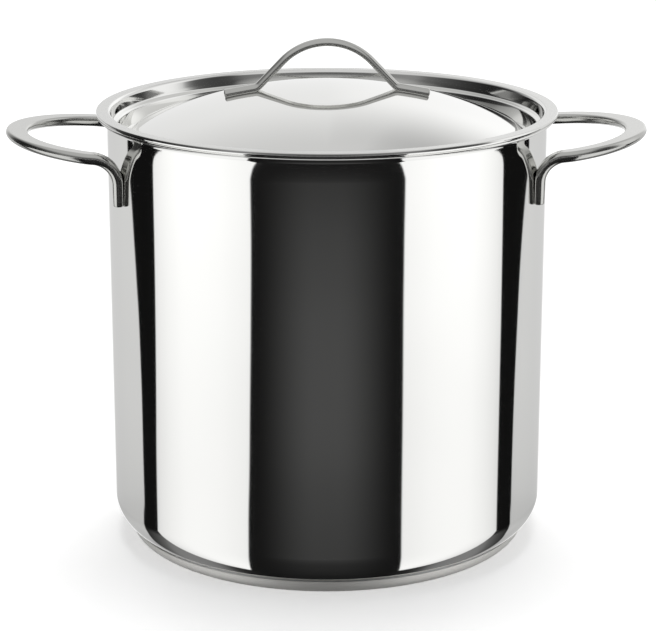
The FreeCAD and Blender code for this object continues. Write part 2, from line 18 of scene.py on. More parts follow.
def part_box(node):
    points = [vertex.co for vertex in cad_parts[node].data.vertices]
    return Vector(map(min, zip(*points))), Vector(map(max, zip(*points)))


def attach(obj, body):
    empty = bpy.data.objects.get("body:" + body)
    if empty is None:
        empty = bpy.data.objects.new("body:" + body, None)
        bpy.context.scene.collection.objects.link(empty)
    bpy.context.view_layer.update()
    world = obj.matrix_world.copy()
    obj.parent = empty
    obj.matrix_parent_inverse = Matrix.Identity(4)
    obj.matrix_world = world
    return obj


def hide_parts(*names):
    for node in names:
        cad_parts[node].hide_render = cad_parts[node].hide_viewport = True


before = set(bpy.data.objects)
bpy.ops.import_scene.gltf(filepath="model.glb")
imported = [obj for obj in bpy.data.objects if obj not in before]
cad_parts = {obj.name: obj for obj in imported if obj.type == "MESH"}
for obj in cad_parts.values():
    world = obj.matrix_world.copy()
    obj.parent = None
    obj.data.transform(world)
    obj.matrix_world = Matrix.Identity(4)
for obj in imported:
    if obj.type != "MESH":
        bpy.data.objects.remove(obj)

MM = 0.001
CREASE = math.radians(38)
IMAGE_WIDTH = 656
LOG = logging.getLogger("canner")


# ---------------------------------------------------------------- small helpers


def linear(hex_colour: str) -> tuple[float, float, float, float]:
    """Turn an sRGB hex colour into linear RGBA.

    Args:
        hex_colour: Six hex digits with a leading hash.

    Returns:
        Linear red, green, blue and an alpha of one.
    """
    values = []
    for start in (1, 3, 5):
        share = int(hex_colour[start : start + 2], 16) / 255
        values.append(share / 12.92 if share <= 0.04045 else ((share + 0.055) / 1.055) ** 2.4)
    return values[0], values[1], values[2], 1.0


def add_node(
    tree: bpy.types.NodeTree,
    kind: str,
    inputs: dict[str | int, object] | None = None,
    **settings: object,
) -> bpy.types.Node:
    """Add a node; an input given as a socket or a node is linked, any other is set.

    Args:
        tree: The shader or geometry tree that gets the node.
        kind: The node's Blender type name.
        inputs: What goes into the node's inputs, by name or number; a node stands for
            its first output.
        **settings: Properties of the node by name.

    Returns:
        The new node.
    """
    node = tree.nodes.new(kind)
    for name, value in settings.items():
        setattr(node, name, value)
    for key, value in (inputs or {}).items():
        source = value.outputs[0] if isinstance(value, bpy.types.Node) else value
        if isinstance(source, bpy.types.NodeSocket):
            tree.links.new(source, node.inputs[key])
        else:
            node.inputs[key].default_value = source
    return node


def link_object(name: str, mesh: bpy.types.Mesh) -> bpy.types.Object:
    """Put a mesh in the scene as an object at the origin.

    Args:
        name: Name of the object.
        mesh: Its mesh.

    Returns:
        The new object.
    """
    piece = bpy.data.objects.new(name, mesh)
    bpy.context.scene.collection.objects.link(piece)
    return piece


def line_mesh(name: str, points: Sequence[Vector], closed: bool = False) -> bpy.types.Mesh:
    """Make a mesh of edges alone through the points.

    Args:
        name: Name of the mesh.
        points: The points in order.
        closed: Whether the last point joins the first.

    Returns:
        The new mesh.
    """
    edges = [(number, number + 1) for number in range(len(points) - 1)]
    if closed:
        edges.append((len(points) - 1, 0))
    mesh = bpy.data.meshes.new(name)
    mesh.from_pydata([tuple(point) for point in points], edges, [])
    return mesh


def give_attribute(
    mesh: bpy.types.Mesh, name: str, kind: str, values: Iterable[float | Vector]
) -> None:
    """Store one value per point on a mesh under a name that the node trees read.

    Args:
        mesh: The mesh that gets the values.
        name: Name of the values.
        kind: Their Blender type name, FLOAT or FLOAT_VECTOR.
        values: One value for each point in order.
    """
    attribute = mesh.attributes.new(name, kind, "POINT")
    for slot, value in zip(attribute.data, values):
        if kind == "FLOAT":
            slot.value = value
        else:
            slot.vector = value


def even_turns(count: int, shift: float = 0.0) -> list[float]:
    """Angles that share a full turn evenly, moved on by a share of one step."""
    return [2 * math.pi * (number + shift) / count for number in range(count)]


def around(radius: float, turn: float, height: float) -> Vector:
    """The point at a radius, a turn about +Z and a height."""
    return Vector((radius * math.cos(turn), radius * math.sin(turn), height))


@dataclass(frozen=True)
class Corner:
    """A corner of an outline: how far across, how far up, and the radius of its rounding."""

    across: float
    up: float
    rounding: float = 0.0

    def place(self) -> Vector:
        """The sharp corner's point in the XZ plane."""
        return Vector((self.across, 0.0, self.up))


@dataclass(frozen=True)
class Outline:
    """An outline of straight runs joined by tangent arcs, ready to be turned about +Z.

    A run keeps a guard point near each of its ends, so that a polished flat beside a
    rounding reflects as a flat.
    """

    corners: tuple[Corner, ...]
    turn_step: float = math.radians(6)
    guard: float = 0.25 * MM

    def arc(self, number: int) -> list[Vector]:
        """Round one corner.

        Args:
            number: Which corner of the outline.

        Returns:
            Points of its rounding, or the corner itself if it is sharp.
        """
        corner = self.corners[number]
        here = corner.place()
        if corner.rounding == 0:
            return [here]
        back = (self.corners[number - 1].place() - here).normalized()
        ahead = (self.corners[number + 1].place() - here).normalized()
        half = back.angle(ahead) / 2
        centre = here + (back + ahead).normalized() * (corner.rounding / math.sin(half))
        start = here + back * (corner.rounding / math.tan(half)) - centre
        end = here + ahead * (corner.rounding / math.tan(half)) - centre
        steps = max(2, math.ceil(start.angle(end) / self.turn_step))
        axis = start.cross(end).normalized()
        turn = start.angle(end) / steps
        return [centre + Matrix.Rotation(turn * n, 3, axis) @ start for n in range(steps + 1)]

    def points(self) -> list[Vector]:
        """Follow the whole outline.

        Returns:
            All its points in order.
        """
        found = self.arc(0)
        for number in range(1, len(self.corners)):
            arc = self.arc(number)
            run = arc[0] - found[-1]
            if run.length > 4 * self.guard:
                found += [found[-1] + run.normalized() * self.guard]
                found += [arc[0] - run.normalized() * self.guard]
            found += arc
        return found


def offset_points(points: Sequence[Vector], distance: float) -> list[Vector]:
    """Shift an outline in the XZ plane to its right-hand side by a distance.

    Args:
        points: The outline's points in order.
        distance: How far to shift each point along its normal.

    Returns:
        The shifted points in the same order.
    """
    shifted = []
    last = len(points) - 1
    for number, point in enumerate(points):
        before = point - points[max(number - 1, 0)]
        after = points[min(number + 1, last)] - point
        along = (before.normalized() + after.normalized()).normalized()
        slant = max(along.dot(after.normalized()), along.dot(before.normalized()), 0.5)
        shifted.append(point + Vector((along.z, 0.0, -along.x)) * (distance / slant))
    return shifted


# ---------------------------------------------------------------- node trees for shapes


def new_tree(name: str, **sockets: str) -> tuple[bpy.types.NodeTree, bpy.types.Node]:
    """Start a geometry tree with named inputs.

    Every tree starts with the shape that it is given and ends with the crease angle and
    the material.

    Args:
        name: Name of the tree.
        **sockets: Kind of each further input by its name, with _ for a space.

    Returns:
        The tree and its input node.
    """
    tree = bpy.data.node_groups.new(name, "GeometryNodeTree")
    kinds = {"Geometry": "Geometry", **sockets, "Crease_Angle": "Float", "Material": "Material"}
    for label, kind in kinds.items():
        tree.interface.new_socket(
            label.replace("_", " "), in_out="INPUT", socket_type=f"NodeSocket{kind}"
        )
    tree.interface.new_socket("Geometry", in_out="OUTPUT", socket_type="NodeSocketGeometry")
    return tree, tree.nodes.new("NodeGroupInput")


def close_tree(
    tree: bpy.types.NodeTree, given: bpy.types.Node, shape: bpy.types.Node
) -> bpy.types.NodeTree:
    """End a geometry tree: real copies, smooth faces, sharp creases and the finish.

    Args:
        tree: The tree to end.
        given: Its input node, which holds the crease angle and the material.
        shape: The node that gives the finished shape.

    Returns:
        The same tree.
    """
    real = add_node(tree, "GeometryNodeRealizeInstances", {"Geometry": shape})
    smooth = add_node(
        tree, "GeometryNodeSetShadeSmooth", {"Geometry": real, "Shade Smooth": True}, domain="FACE"
    )
    angle = add_node(tree, "GeometryNodeInputMeshEdgeAngle").outputs["Unsigned Angle"]
    sharp = add_node(
        tree, "FunctionNodeCompare", {0: angle, 1: given.outputs["Crease Angle"]},
        data_type="FLOAT", operation="GREATER_THAN",
    )
    creased = add_node(
        tree, "GeometryNodeSetShadeSmooth",
        {"Geometry": smooth, "Selection": sharp, "Shade Smooth": False}, domain="EDGE",
    )
    dressed = add_node(
        tree, "GeometryNodeSetMaterial",
        {"Geometry": creased, "Material": given.outputs["Material"]},
    )
    add_node(tree, "NodeGroupOutput", {"Geometry": dressed})
    return tree


def turned_tree() -> bpy.types.NodeTree:
    """Build the tree that turns an outline in the XZ plane about +Z.

    Returns:
        The tree, which closes the turned sheet where it meets the axis.
    """
    tree, given = new_tree("turned_sheet", Pivot_Radius="Float", Steps="Int")
    curve = add_node(tree, "GeometryNodeMeshToCurve", {"Mesh": given})
    place = add_node(tree, "GeometryNodeInputPosition")
    parts = add_node(tree, "ShaderNodeSeparateXYZ", {0: place})
    inward = add_node(
        tree, "ShaderNodeMath", {0: parts.outputs["X"], 1: given.outputs["Pivot Radius"]},
        operation="SUBTRACT",
    )
    down = add_node(tree, "ShaderNodeMath", {0: parts.outputs["Z"], 1: -1.0}, operation="MULTIPLY")
    laid = add_node(tree, "ShaderNodeCombineXYZ", {"X": inward, "Y": down})
    outline = add_node(tree, "GeometryNodeSetPosition", {"Geometry": curve, "Position": laid})
    circle = add_node(
        tree, "GeometryNodeCurvePrimitiveCircle",
        {"Resolution": given.outputs["Steps"], "Radius": given.outputs["Pivot Radius"]},
    )
    upright = add_node(tree, "GeometryNodeSetCurveNormal", {"Curve": circle}, mode="Z_UP")
    swept = add_node(
        tree, "GeometryNodeCurveToMesh", {"Curve": upright, "Profile Curve": outline}
    )
    closed = add_node(
        tree, "GeometryNodeMergeByDistance", {"Geometry": swept, "Distance": 0.02 * MM}
    )
    return close_tree(tree, given, closed)


def wire_tree() -> bpy.types.NodeTree:
    """Build the tree that draws round wire along a path of edges.

    Returns:
        The tree, which first rounds the path at its stored bends.
    """
    tree, given = new_tree("bent_wire", Wire_Radius="Float", Bend_Steps="Int", Sides="Int")
    curve = add_node(tree, "GeometryNodeMeshToCurve", {"Mesh": given})
    bend = add_node(tree, "GeometryNodeInputNamedAttribute", {"Name": "bend"}, data_type="FLOAT")
    rounded = add_node(
        tree, "GeometryNodeFilletCurve",
        {"Curve": curve, "Count": given.outputs["Bend Steps"], "Radius": bend, "Limit Radius": True},
        mode="POLY",
    )
    section = add_node(
        tree, "GeometryNodeCurvePrimitiveCircle",
        {"Resolution": given.outputs["Sides"], "Radius": given.outputs["Wire Radius"]},
    )
    wire = add_node(
        tree, "GeometryNodeCurveToMesh",
        {"Curve": rounded, "Profile Curve": section, "Fill Caps": True},
    )
    return close_tree(tree, given, wire)


def copies_tree() -> bpy.types.NodeTree:
    """Build the tree that sets a copy of one piece at each point.

    Returns:
        The tree, which turns each copy as its point says.
    """
    tree, given = new_tree("set_copies", Piece="Object")
    piece = add_node(tree, "GeometryNodeObjectInfo", {"Object": given.outputs["Piece"]})
    turn = add_node(
        tree, "GeometryNodeInputNamedAttribute", {"Name": "turn"}, data_type="FLOAT_VECTOR"
    )
    spun = add_node(tree, "FunctionNodeEulerToRotation", {0: turn})
    copies = add_node(
        tree, "GeometryNodeInstanceOnPoints",
        {"Points": given, "Instance": piece.outputs["Geometry"], "Rotation": spun},
    )
    return close_tree(tree, given, copies)


def face_outwards(mesh: bpy.types.Mesh) -> None:
    """Flip the faces of a closed mesh if they look inwards.

    Args:
        mesh: The mesh to look at.
    """
    shape = bmesh.new()
    shape.from_mesh(mesh)
    if shape.calc_volume(signed=True) < 0:
        mesh.flip_normals()
    shape.free()


@dataclass
class Workshop:
    """The shared node trees, and one call for each way of making a piece."""

    crease: float = CREASE
    pivot_radius: float = 100 * MM
    bend_steps: int = 10
    wire_sides: int = 20

    def __post_init__(self) -> None:
        """Build each tree once."""
        self.turning = turned_tree()
        self.bending = wire_tree()
        self.copying = copies_tree()

    def grow(
        self,
        seed: bpy.types.Mesh,
        tree: bpy.types.NodeTree,
        finish: bpy.types.Material,
        **values: object,
    ) -> bpy.types.Object:
        """Run a geometry tree on a seed mesh and keep the result as a plain mesh.

        Args:
            seed: The mesh that the tree starts from; the piece takes its name.
            tree: The geometry tree.
            finish: The piece's material.
            **values: Values of the tree's other inputs by name, with _ for a space.

        Returns:
            An object at the origin that holds the plain mesh.
        """
        name = seed.name
        seed.name = f"{name}_seed"
        maker = link_object(seed.name, seed)
        modifier = maker.modifiers.new("grow", "NODES")
        modifier.node_group = tree
        values |= {"Crease_Angle": self.crease, "Material": finish}
        for item in tree.interface.items_tree:
            label = item.name.replace(" ", "_")
            if item.in_out == "INPUT" and label in values:
                modifier[item.identifier] = values[label]
        depsgraph = bpy.context.evaluated_depsgraph_get()
        mesh = bpy.data.meshes.new_from_object(
            maker.evaluated_get(depsgraph), preserve_all_data_layers=True, depsgraph=depsgraph
        )
        mesh.name = name
        face_outwards(mesh)
        bpy.data.objects.remove(maker)
        return link_object(name, mesh)

    def turn(
        self, name: str, points: Sequence[Vector], finish: bpy.types.Material, steps: int = 256
    ) -> bpy.types.Object:
        """Turn an outline about +Z.

        Args:
            name: Name of the piece.
            points: The outline, from the axis out and back, with the metal on its left.
            finish: The piece's material.
            steps: Number of flats round the piece.

        Returns:
            The new piece.
        """
        seed = line_mesh(name, points)
        return self.grow(seed, self.turning, finish, Pivot_Radius=self.pivot_radius, Steps=steps)

    def wire(
        self,
        name: str,
        path: Sequence[Vector],
        radius: float,
        finish: bpy.types.Material,
        bends: Sequence[float] | None = None,
        closed: bool = False,
    ) -> bpy.types.Object:
        """Bend round wire along a path.

        Args:
            name: Name of the piece.
            path: The corners of the wire's centre line.
            radius: Radius of the wire.
            finish: The piece's material.
            bends: Bending radius at each corner, or nothing for none.
            closed: Whether the wire joins up with itself.

        Returns:
            The new piece.
        """
        seed = line_mesh(name, path, closed)
        give_attribute(seed, "bend", "FLOAT", bends or [0.0] * len(path))
        return self.grow(
            seed, self.bending, finish,
            Wire_Radius=radius, Bend_Steps=self.bend_steps, Sides=self.wire_sides,
        )

    def copies(
        self,
        name: str,
        piece: bpy.types.Object,
        places: Sequence[Vector],
        turns: Sequence[Vector],
        finish: bpy.types.Material,
    ) -> bpy.types.Object:
        """Set copies of a piece at several places and drop the first one.

        Args:
            name: Name of the new piece.
            piece: What is repeated; it is removed afterwards.
            places: Where each copy goes.
            turns: Euler angles of each copy.
            finish: The new piece's material.

        Returns:
            One piece that holds all copies.
        """
        seed = line_mesh(name, places)
        give_attribute(seed, "turn", "FLOAT_VECTOR", turns)
        made = self.grow(seed, self.copying, finish, Piece=piece)
        bpy.data.objects.remove(piece)
        return made


def hand_over(piece: bpy.types.Object, body: str, *nodes: str) -> None:
    """Let a finished piece ride on a body and stand for its CAD nodes, which are hidden.

    Args:
        piece: The finished piece.
        body: Name of the CAD body that carries it.
        *nodes: The CAD nodes that it stands for.
    """
    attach(piece, body)
    if nodes:
        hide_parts(*nodes)
    LOG.info("%s: %d faces on %s", piece.name, len(piece.data.polygons), body)


# ---------------------------------------------------------------- finishes


class Grain(enum.Enum):
    """Which way the marks of the last polishing step run."""

    ROUND = "round the turned piece"
    LENGTHWISE = "along a bar or a wire"


@dataclass(frozen=True)
class PolishedSteel:
    """Stainless steel with the fine marks of its last polishing step.

    The marks show as thin streaks of slightly softer gloss, and long shallow waves
    left by pressing bend the edges of what the metal reflects by a hair.
    """

    name: str
    colour: str
    shade: str
    roughness: float
    roughness_spread: float
    mark_pitch: float
    mark_depth: float
    wave_length: float = 60 * MM
    wave_depth: float = 0.0
    grain: Grain = Grain.ROUND
    drift_length: float = 125 * MM
    streak_stretch: float = 4.0

    def grain_vector(
        self, tree: bpy.types.NodeTree, where: bpy.types.NodeSocket
    ) -> bpy.types.Node:
        """Stretch the coordinates along the marks.

        Args:
            tree: The material's tree.
            where: The piece's own coordinates.

        Returns:
            A node whose vector changes fast across the marks and slowly along them.
        """
        fine = 1 / self.mark_pitch
        if self.grain is Grain.LENGTHWISE:
            return add_node(
                tree, "ShaderNodeVectorMath", {0: where, 1: (fine / self.streak_stretch, fine, fine)},
                operation="MULTIPLY",
            )
        parts = add_node(tree, "ShaderNodeSeparateXYZ", {0: where}).outputs
        flat = add_node(tree, "ShaderNodeCombineXYZ", {"X": parts["X"], "Y": parts["Y"]})
        reach = add_node(tree, "ShaderNodeVectorMath", {0: flat}, operation="LENGTH")
        rings = add_node(
            tree, "ShaderNodeCombineXYZ", {"X": reach.outputs["Value"], "Z": parts["Z"]}
        )
        spread = add_node(
            tree, "ShaderNodeVectorMath", {0: rings, "Scale": fine}, operation="SCALE"
        )
        drift = add_node(
            tree, "ShaderNodeVectorMath", {0: where, "Scale": 1 / self.drift_length},
            operation="SCALE",
        )
        return add_node(tree, "ShaderNodeVectorMath", {0: spread, 1: drift}, operation="ADD")

    def material(self) -> bpy.types.Material:
        """Build the material.

        Returns:
            The material, with a tint that drifts, streaked gloss and two kinds of relief.
        """
        made = bpy.data.materials.new(self.name)
        made.use_nodes = True
        tree = made.node_tree
        tree.nodes.clear()
        where = add_node(tree, "ShaderNodeTexCoord").outputs["Object"]
        marks = add_node(
            tree, "ShaderNodeTexNoise",
            {"Vector": self.grain_vector(tree, where), "Scale": 1.0, "Detail": 3.0, "Roughness": 0.6},
        ).outputs["Fac"]
        clouds = add_node(
            tree, "ShaderNodeTexNoise",
            {"Vector": where, "Scale": 1 / self.wave_length, "Detail": 1.0},
        ).outputs["Fac"]
        tint = add_node(
            tree, "ShaderNodeMix",
            {"Factor": clouds, "A": linear(self.colour), "B": linear(self.shade)},
            data_type="RGBA",
        )
        gloss = add_node(
            tree, "ShaderNodeMapRange",
            {
                "Value": marks, "From Min": 0.3, "From Max": 0.7,
                "To Min": self.roughness - self.roughness_spread,
                "To Max": self.roughness + self.roughness_spread,
            },
        )
        scored = add_node(
            tree, "ShaderNodeBump", {"Strength": 1.0, "Distance": self.mark_depth, "Height": marks}
        )
        waved = add_node(
            tree, "ShaderNodeBump",
            {"Strength": 1.0, "Distance": self.wave_depth, "Height": clouds, "Normal": scored},
        )
        shader = add_node(
            tree, "ShaderNodeBsdfPrincipled",
            {
                "Base Color": tint.outputs["Result"], "Metallic": 1.0,
                "Roughness": gloss, "Normal": waved,
            },
        )
        add_node(tree, "ShaderNodeOutputMaterial", {"Surface": shader})
        return made


class Finishes:
    """All finishes of the canner, made once."""

    def __init__(self) -> None:
        """Build each material from its description."""
        # Drawn sheet buffed to a mirror: everything round it shows, sharp and hardly dulled.
        self.mirror = PolishedSteel(
            "steel_sheet_mirror_buffed", "#EFEFED", "#ECECEA", 0.045, 0.008,
            mark_pitch=0.8 * MM, mark_depth=0.0004 * MM, wave_depth=0.02 * MM,
        ).material()
        # The lid's flat edge keeps the marks of the lathe, a tone duller than the rest of it.
        self.turned = PolishedSteel(
            "steel_sheet_turned_edge", "#DEDEDC", "#D9D9D7", 0.3, 0.03,
            mark_pitch=0.5 * MM, mark_depth=0.001 * MM,
        ).material()
        # The inside is ring-brushed, so it only glows and blurs in bands.
        self.brushed = PolishedSteel(
            "steel_sheet_ring_brushed_inside", "#E8E7E4", "#DFDEDA", 0.26, 0.06,
            mark_pitch=0.6 * MM, mark_depth=0.004 * MM,
        ).material()
        # The cap under the pot is turned and left satin: an even soft grey with faint rings.
        self.satin = PolishedSteel(
            "steel_cap_satin_turned", "#F0EFEC", "#E6E5E2", 0.6, 0.05,
            mark_pitch=0.5 * MM, mark_depth=0.004 * MM,
        ).material()
        # Bars polished along their length: bright, with thin dark and white lines.
        self.bar = PolishedSteel(
            "steel_bar_polished_lengthwise", "#C8C8C5", "#C2C2BF", 0.17, 0.03,
            mark_pitch=0.7 * MM, mark_depth=0.0006 * MM, grain=Grain.LENGTHWISE,
        ).material()
        # Drawn wire, electropolished: bright but rounded highlights.
        self.wire = PolishedSteel(
            "steel_wire_electropolished", "#DCDCD8", "#CFCFCB", 0.16, 0.04,
            mark_pitch=0.9 * MM, mark_depth=0.002 * MM, grain=Grain.LENGTHWISE,
        ).material()
        # Spot welds: a little nugget of melted wire, duller and faintly straw coloured.
        self.weld = PolishedSteel(
            "steel_weld_nugget", "#BDB7AB", "#A9A296", 0.3, 0.06,
            mark_pitch=0.7 * MM, mark_depth=0.01 * MM, grain=Grain.LENGTHWISE,
        ).material()
        # Rolled aluminium disc, sealed inside the base: matt and white-grey.
        self.aluminium = PolishedSteel(
            "aluminium_disc_rolled", "#D4D5D6", "#C8C9CB", 0.42, 0.06,
            mark_pitch=0.6 * MM, mark_depth=0.006 * MM, grain=Grain.LENGTHWISE,
        ).material()


# ---------------------------------------------------------------- pot


@dataclass
class Pot:
    """The drawn pot with its rolled lip, and the layered base under it."""

    workshop: Workshop
    finishes: Finishes
    wall: float = 1.0 * MM
    corner: float = 22 * MM
    lip_bend: float = 4.0 * MM
    hem_width: float = 1.2 * MM
    hem_height: float = 1.8 * MM
    lip_slope: float = 0.8 * MM
    neck: float = 11 * MM
    neck_lean: float = 0.45 * MM
    neck_round: float = 250 * MM
    flats: int = 320
    cap_skin: float = 0.6 * MM
    cap_edge: float = 9.6 * MM
    cap_drop: float = 1.0 * MM

    def __post_init__(self) -> None:
        """Read the pot's place from the frame."""
        low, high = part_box("pot_body")
        self.floor = low.z
        self.rim = high.z
        self.lip = high.x
        self.radius = high.x - self.hem_width - self.lip_bend

    def shell(self) -> bpy.types.Object:
        """The pot itself: flat floor, round corner, straight wall and a turned-down lip.

        Rolling the lip draws the wall in a little below it, and the lip's face slopes.

        Returns:
            The pot, mirror-polished outside and ring-brushed inside.
        """
        rim, wall = self.rim, self.wall
        hem = self.lip - self.hem_width
        hem_foot = rim - self.hem_height
        outside = Outline(
            (
                Corner(0, self.floor),
                Corner(self.radius, self.floor, self.corner),
                Corner(self.radius, rim - self.neck, self.neck_round),
                Corner(self.radius - self.neck_lean, rim - wall, self.lip_bend - 0.1 * MM),
                Corner(hem, rim - wall, 0.05 * MM),
                Corner(hem, hem_foot, 0.3 * MM),
                Corner(self.lip, hem_foot, 0.4 * MM),
                Corner(self.lip - self.lip_slope, rim, 0.5 * MM),
                Corner(self.radius - wall, rim, self.lip_bend + wall),
                Corner(self.radius - wall, self.floor + wall, self.corner - wall),
                Corner(0, self.floor + wall),
            ),
            turn_step=math.radians(4),
        )
        finish = self.finishes.mirror
        piece = self.workshop.turn("pot_shell", outside.points(), finish, self.flats)
        piece.data.materials.append(self.finishes.brushed)
        for face in piece.data.polygons:
            centre = face.center
            inward = centre.xy.dot(face.normal.xy) < 0 or face.normal.z > 0.1
            inside = centre.xy.length < self.radius - wall / 2
            if inside and inward and centre.z < rim - 2 * self.lip_bend:
                face.material_index = 1
        return piece

    def cap(self) -> bpy.types.Object:
        """The steel cap that wraps the aluminium disc and meets the pot's corner.

        Returns:
            The cap, whose upper edge stops a little short, so that the seam shows as a line.
        """
        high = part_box("base_capsule")[1]
        reach, top = high.x, high.z - self.cap_drop
        inner = reach - self.cap_skin
        outline = Outline(
            (
                Corner(0, 0),
                Corner(reach, 0, self.cap_edge),
                Corner(reach, top, 0.35 * MM),
                Corner(inner, top - 0.2 * MM, 0.1 * MM),
                Corner(inner, self.cap_skin, self.cap_edge - self.cap_skin),
                Corner(0, self.cap_skin),
            )
        )
        return self.workshop.turn("base_cap", outline.points(), self.finishes.satin)

    def build(self) -> None:
        """Make the pot and its base and hand them to the pot's body."""
        hand_over(self.shell(), "pot", "pot_body")
        hand_over(self.cap(), "pot", "base_capsule")
        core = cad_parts["base_core"]
        core.data.materials.clear()
        core.data.materials.append(self.finishes.aluminium)
        LOG.info("base_core: CAD node dressed")


# ---------------------------------------------------------------- bars


@dataclass(frozen=True)
class BarSection:
    """A bar with a flat underside and a bowed top, whose lower corners are rounded."""

    width: float
    thickness: float
    edge: float
    corner_across: float
    corner_up: float
    bow_steps: int = 22
    corner_steps: int = 6

    def points(self) -> list[Vector]:
        """Go round the section.

        Returns:
            Its points, with the side in X and the height in Y.
        """
        half = self.width / 2
        inner = half - self.corner_across
        found = [Vector((inner * share, 0.0)) for share in (-0.9, -0.5, 0.0, 0.5, 0.9)]
        corner = []
        for step in range(self.corner_steps + 1):
            turn = math.pi / 2 * step / self.corner_steps
            across = inner + self.corner_across * math.sin(turn)
            corner.append(Vector((across, self.corner_up * (1 - math.cos(turn)))))
        found += corner
        for step in range(self.bow_steps + 1):
            turn = math.pi * step / self.bow_steps
            rise = (self.thickness - self.edge) * math.sin(turn)
            found.append(Vector((half * math.cos(turn), self.edge + rise)))
        found += [Vector((-point.x, point.y)) for point in reversed(corner)]
        return found

    def towards(self, other: "BarSection", share: float) -> list[Vector]:
        """The section at a share of the way to another one."""
        return [a.lerp(b, share) for a, b in zip(self.points(), other.points())]


@dataclass(frozen=True)
class Station:
    """One place along a bar: its point, the way ahead, the bow's side and the section."""

    place: Vector
    ahead: Vector
    out: Vector
    section: Sequence[Vector]

    def ring(self, inset: float = 0.0, push: float = 0.0) -> list[Vector]:
        """Set the section in its place.

        Args:
            inset: How far each side is drawn in.
            push: How far the section is moved ahead.

        Returns:
            Its points in space.
        """
        middle = sum(point.y for point in self.section) / len(self.section)
        half = max(point.x for point in self.section)
        across = self.ahead.cross(self.out).normalized()
        centre = self.place + self.ahead * push + self.out * middle
        return [
            centre
            + across * (point.x * (1 - inset / half))
            + self.out * ((point.y - middle) * (1 - inset / middle))
            for point in self.section
        ]


@dataclass(frozen=True)
class Bar:
    """A bar drawn through stations, with flat ends whose edges are rounded."""

    name: str
    stations: tuple[Station, ...]
    end_round: float
    end_steps: int = 6

    def end_rings(self, station: Station, way: int) -> list[list[Vector]]:
        """Round one end of the bar.

        Args:
            station: The bar's first or last station.
            way: 1 where the bar lies ahead of it, -1 where it lies behind.

        Returns:
            The rings of the rounding, from the end face inwards.
        """
        rings = []
        for step in range(self.end_steps + 1):
            turn = math.pi / 2 * step / self.end_steps
            inset = self.end_round * (1 - math.sin(turn))
            rings.append(station.ring(inset, way * self.end_round * (1 - math.cos(turn))))
        return rings

    def mesh(self, finish: bpy.types.Material) -> bpy.types.Mesh:
        """Build the closed mesh.

        Args:
            finish: The bar's material.

        Returns:
            The mesh, with smooth faces and creases where the bar is sharp.
        """
        rings = self.end_rings(self.stations[0], 1)
        clear = self.end_round * 1.2
        for station in self.stations[1:-1]:
            ends = (self.stations[0], self.stations[-1])
            if min((station.place - end.place).length for end in ends) > clear:
                rings.append(station.ring())
        rings += reversed(self.end_rings(self.stations[-1], -1))
        shape = bmesh.new()
        rows = [[shape.verts.new(point) for point in ring] for ring in rings]
        count = len(rows[0])
        for row, following in zip(rows, rows[1:]):
            for number in range(count):
                after = (number + 1) % count
                shape.faces.new((row[number], row[after], following[after], following[number]))
        shape.faces.new(list(reversed(rows[0])))
        shape.faces.new(rows[-1])
        bmesh.ops.remove_doubles(shape, verts=shape.verts, dist=0.001 * MM)
        bmesh.ops.recalc_face_normals(shape, faces=shape.faces)
        for face in shape.faces:
            face.smooth = True
        for edge in shape.edges:
            if len(edge.link_faces) == 2 and edge.calc_face_angle() > CREASE:
                edge.smooth = False
        mesh = bpy.data.meshes.new(self.name)
        shape.to_mesh(mesh)
        shape.free()
        mesh.materials.append(finish)
        return mesh


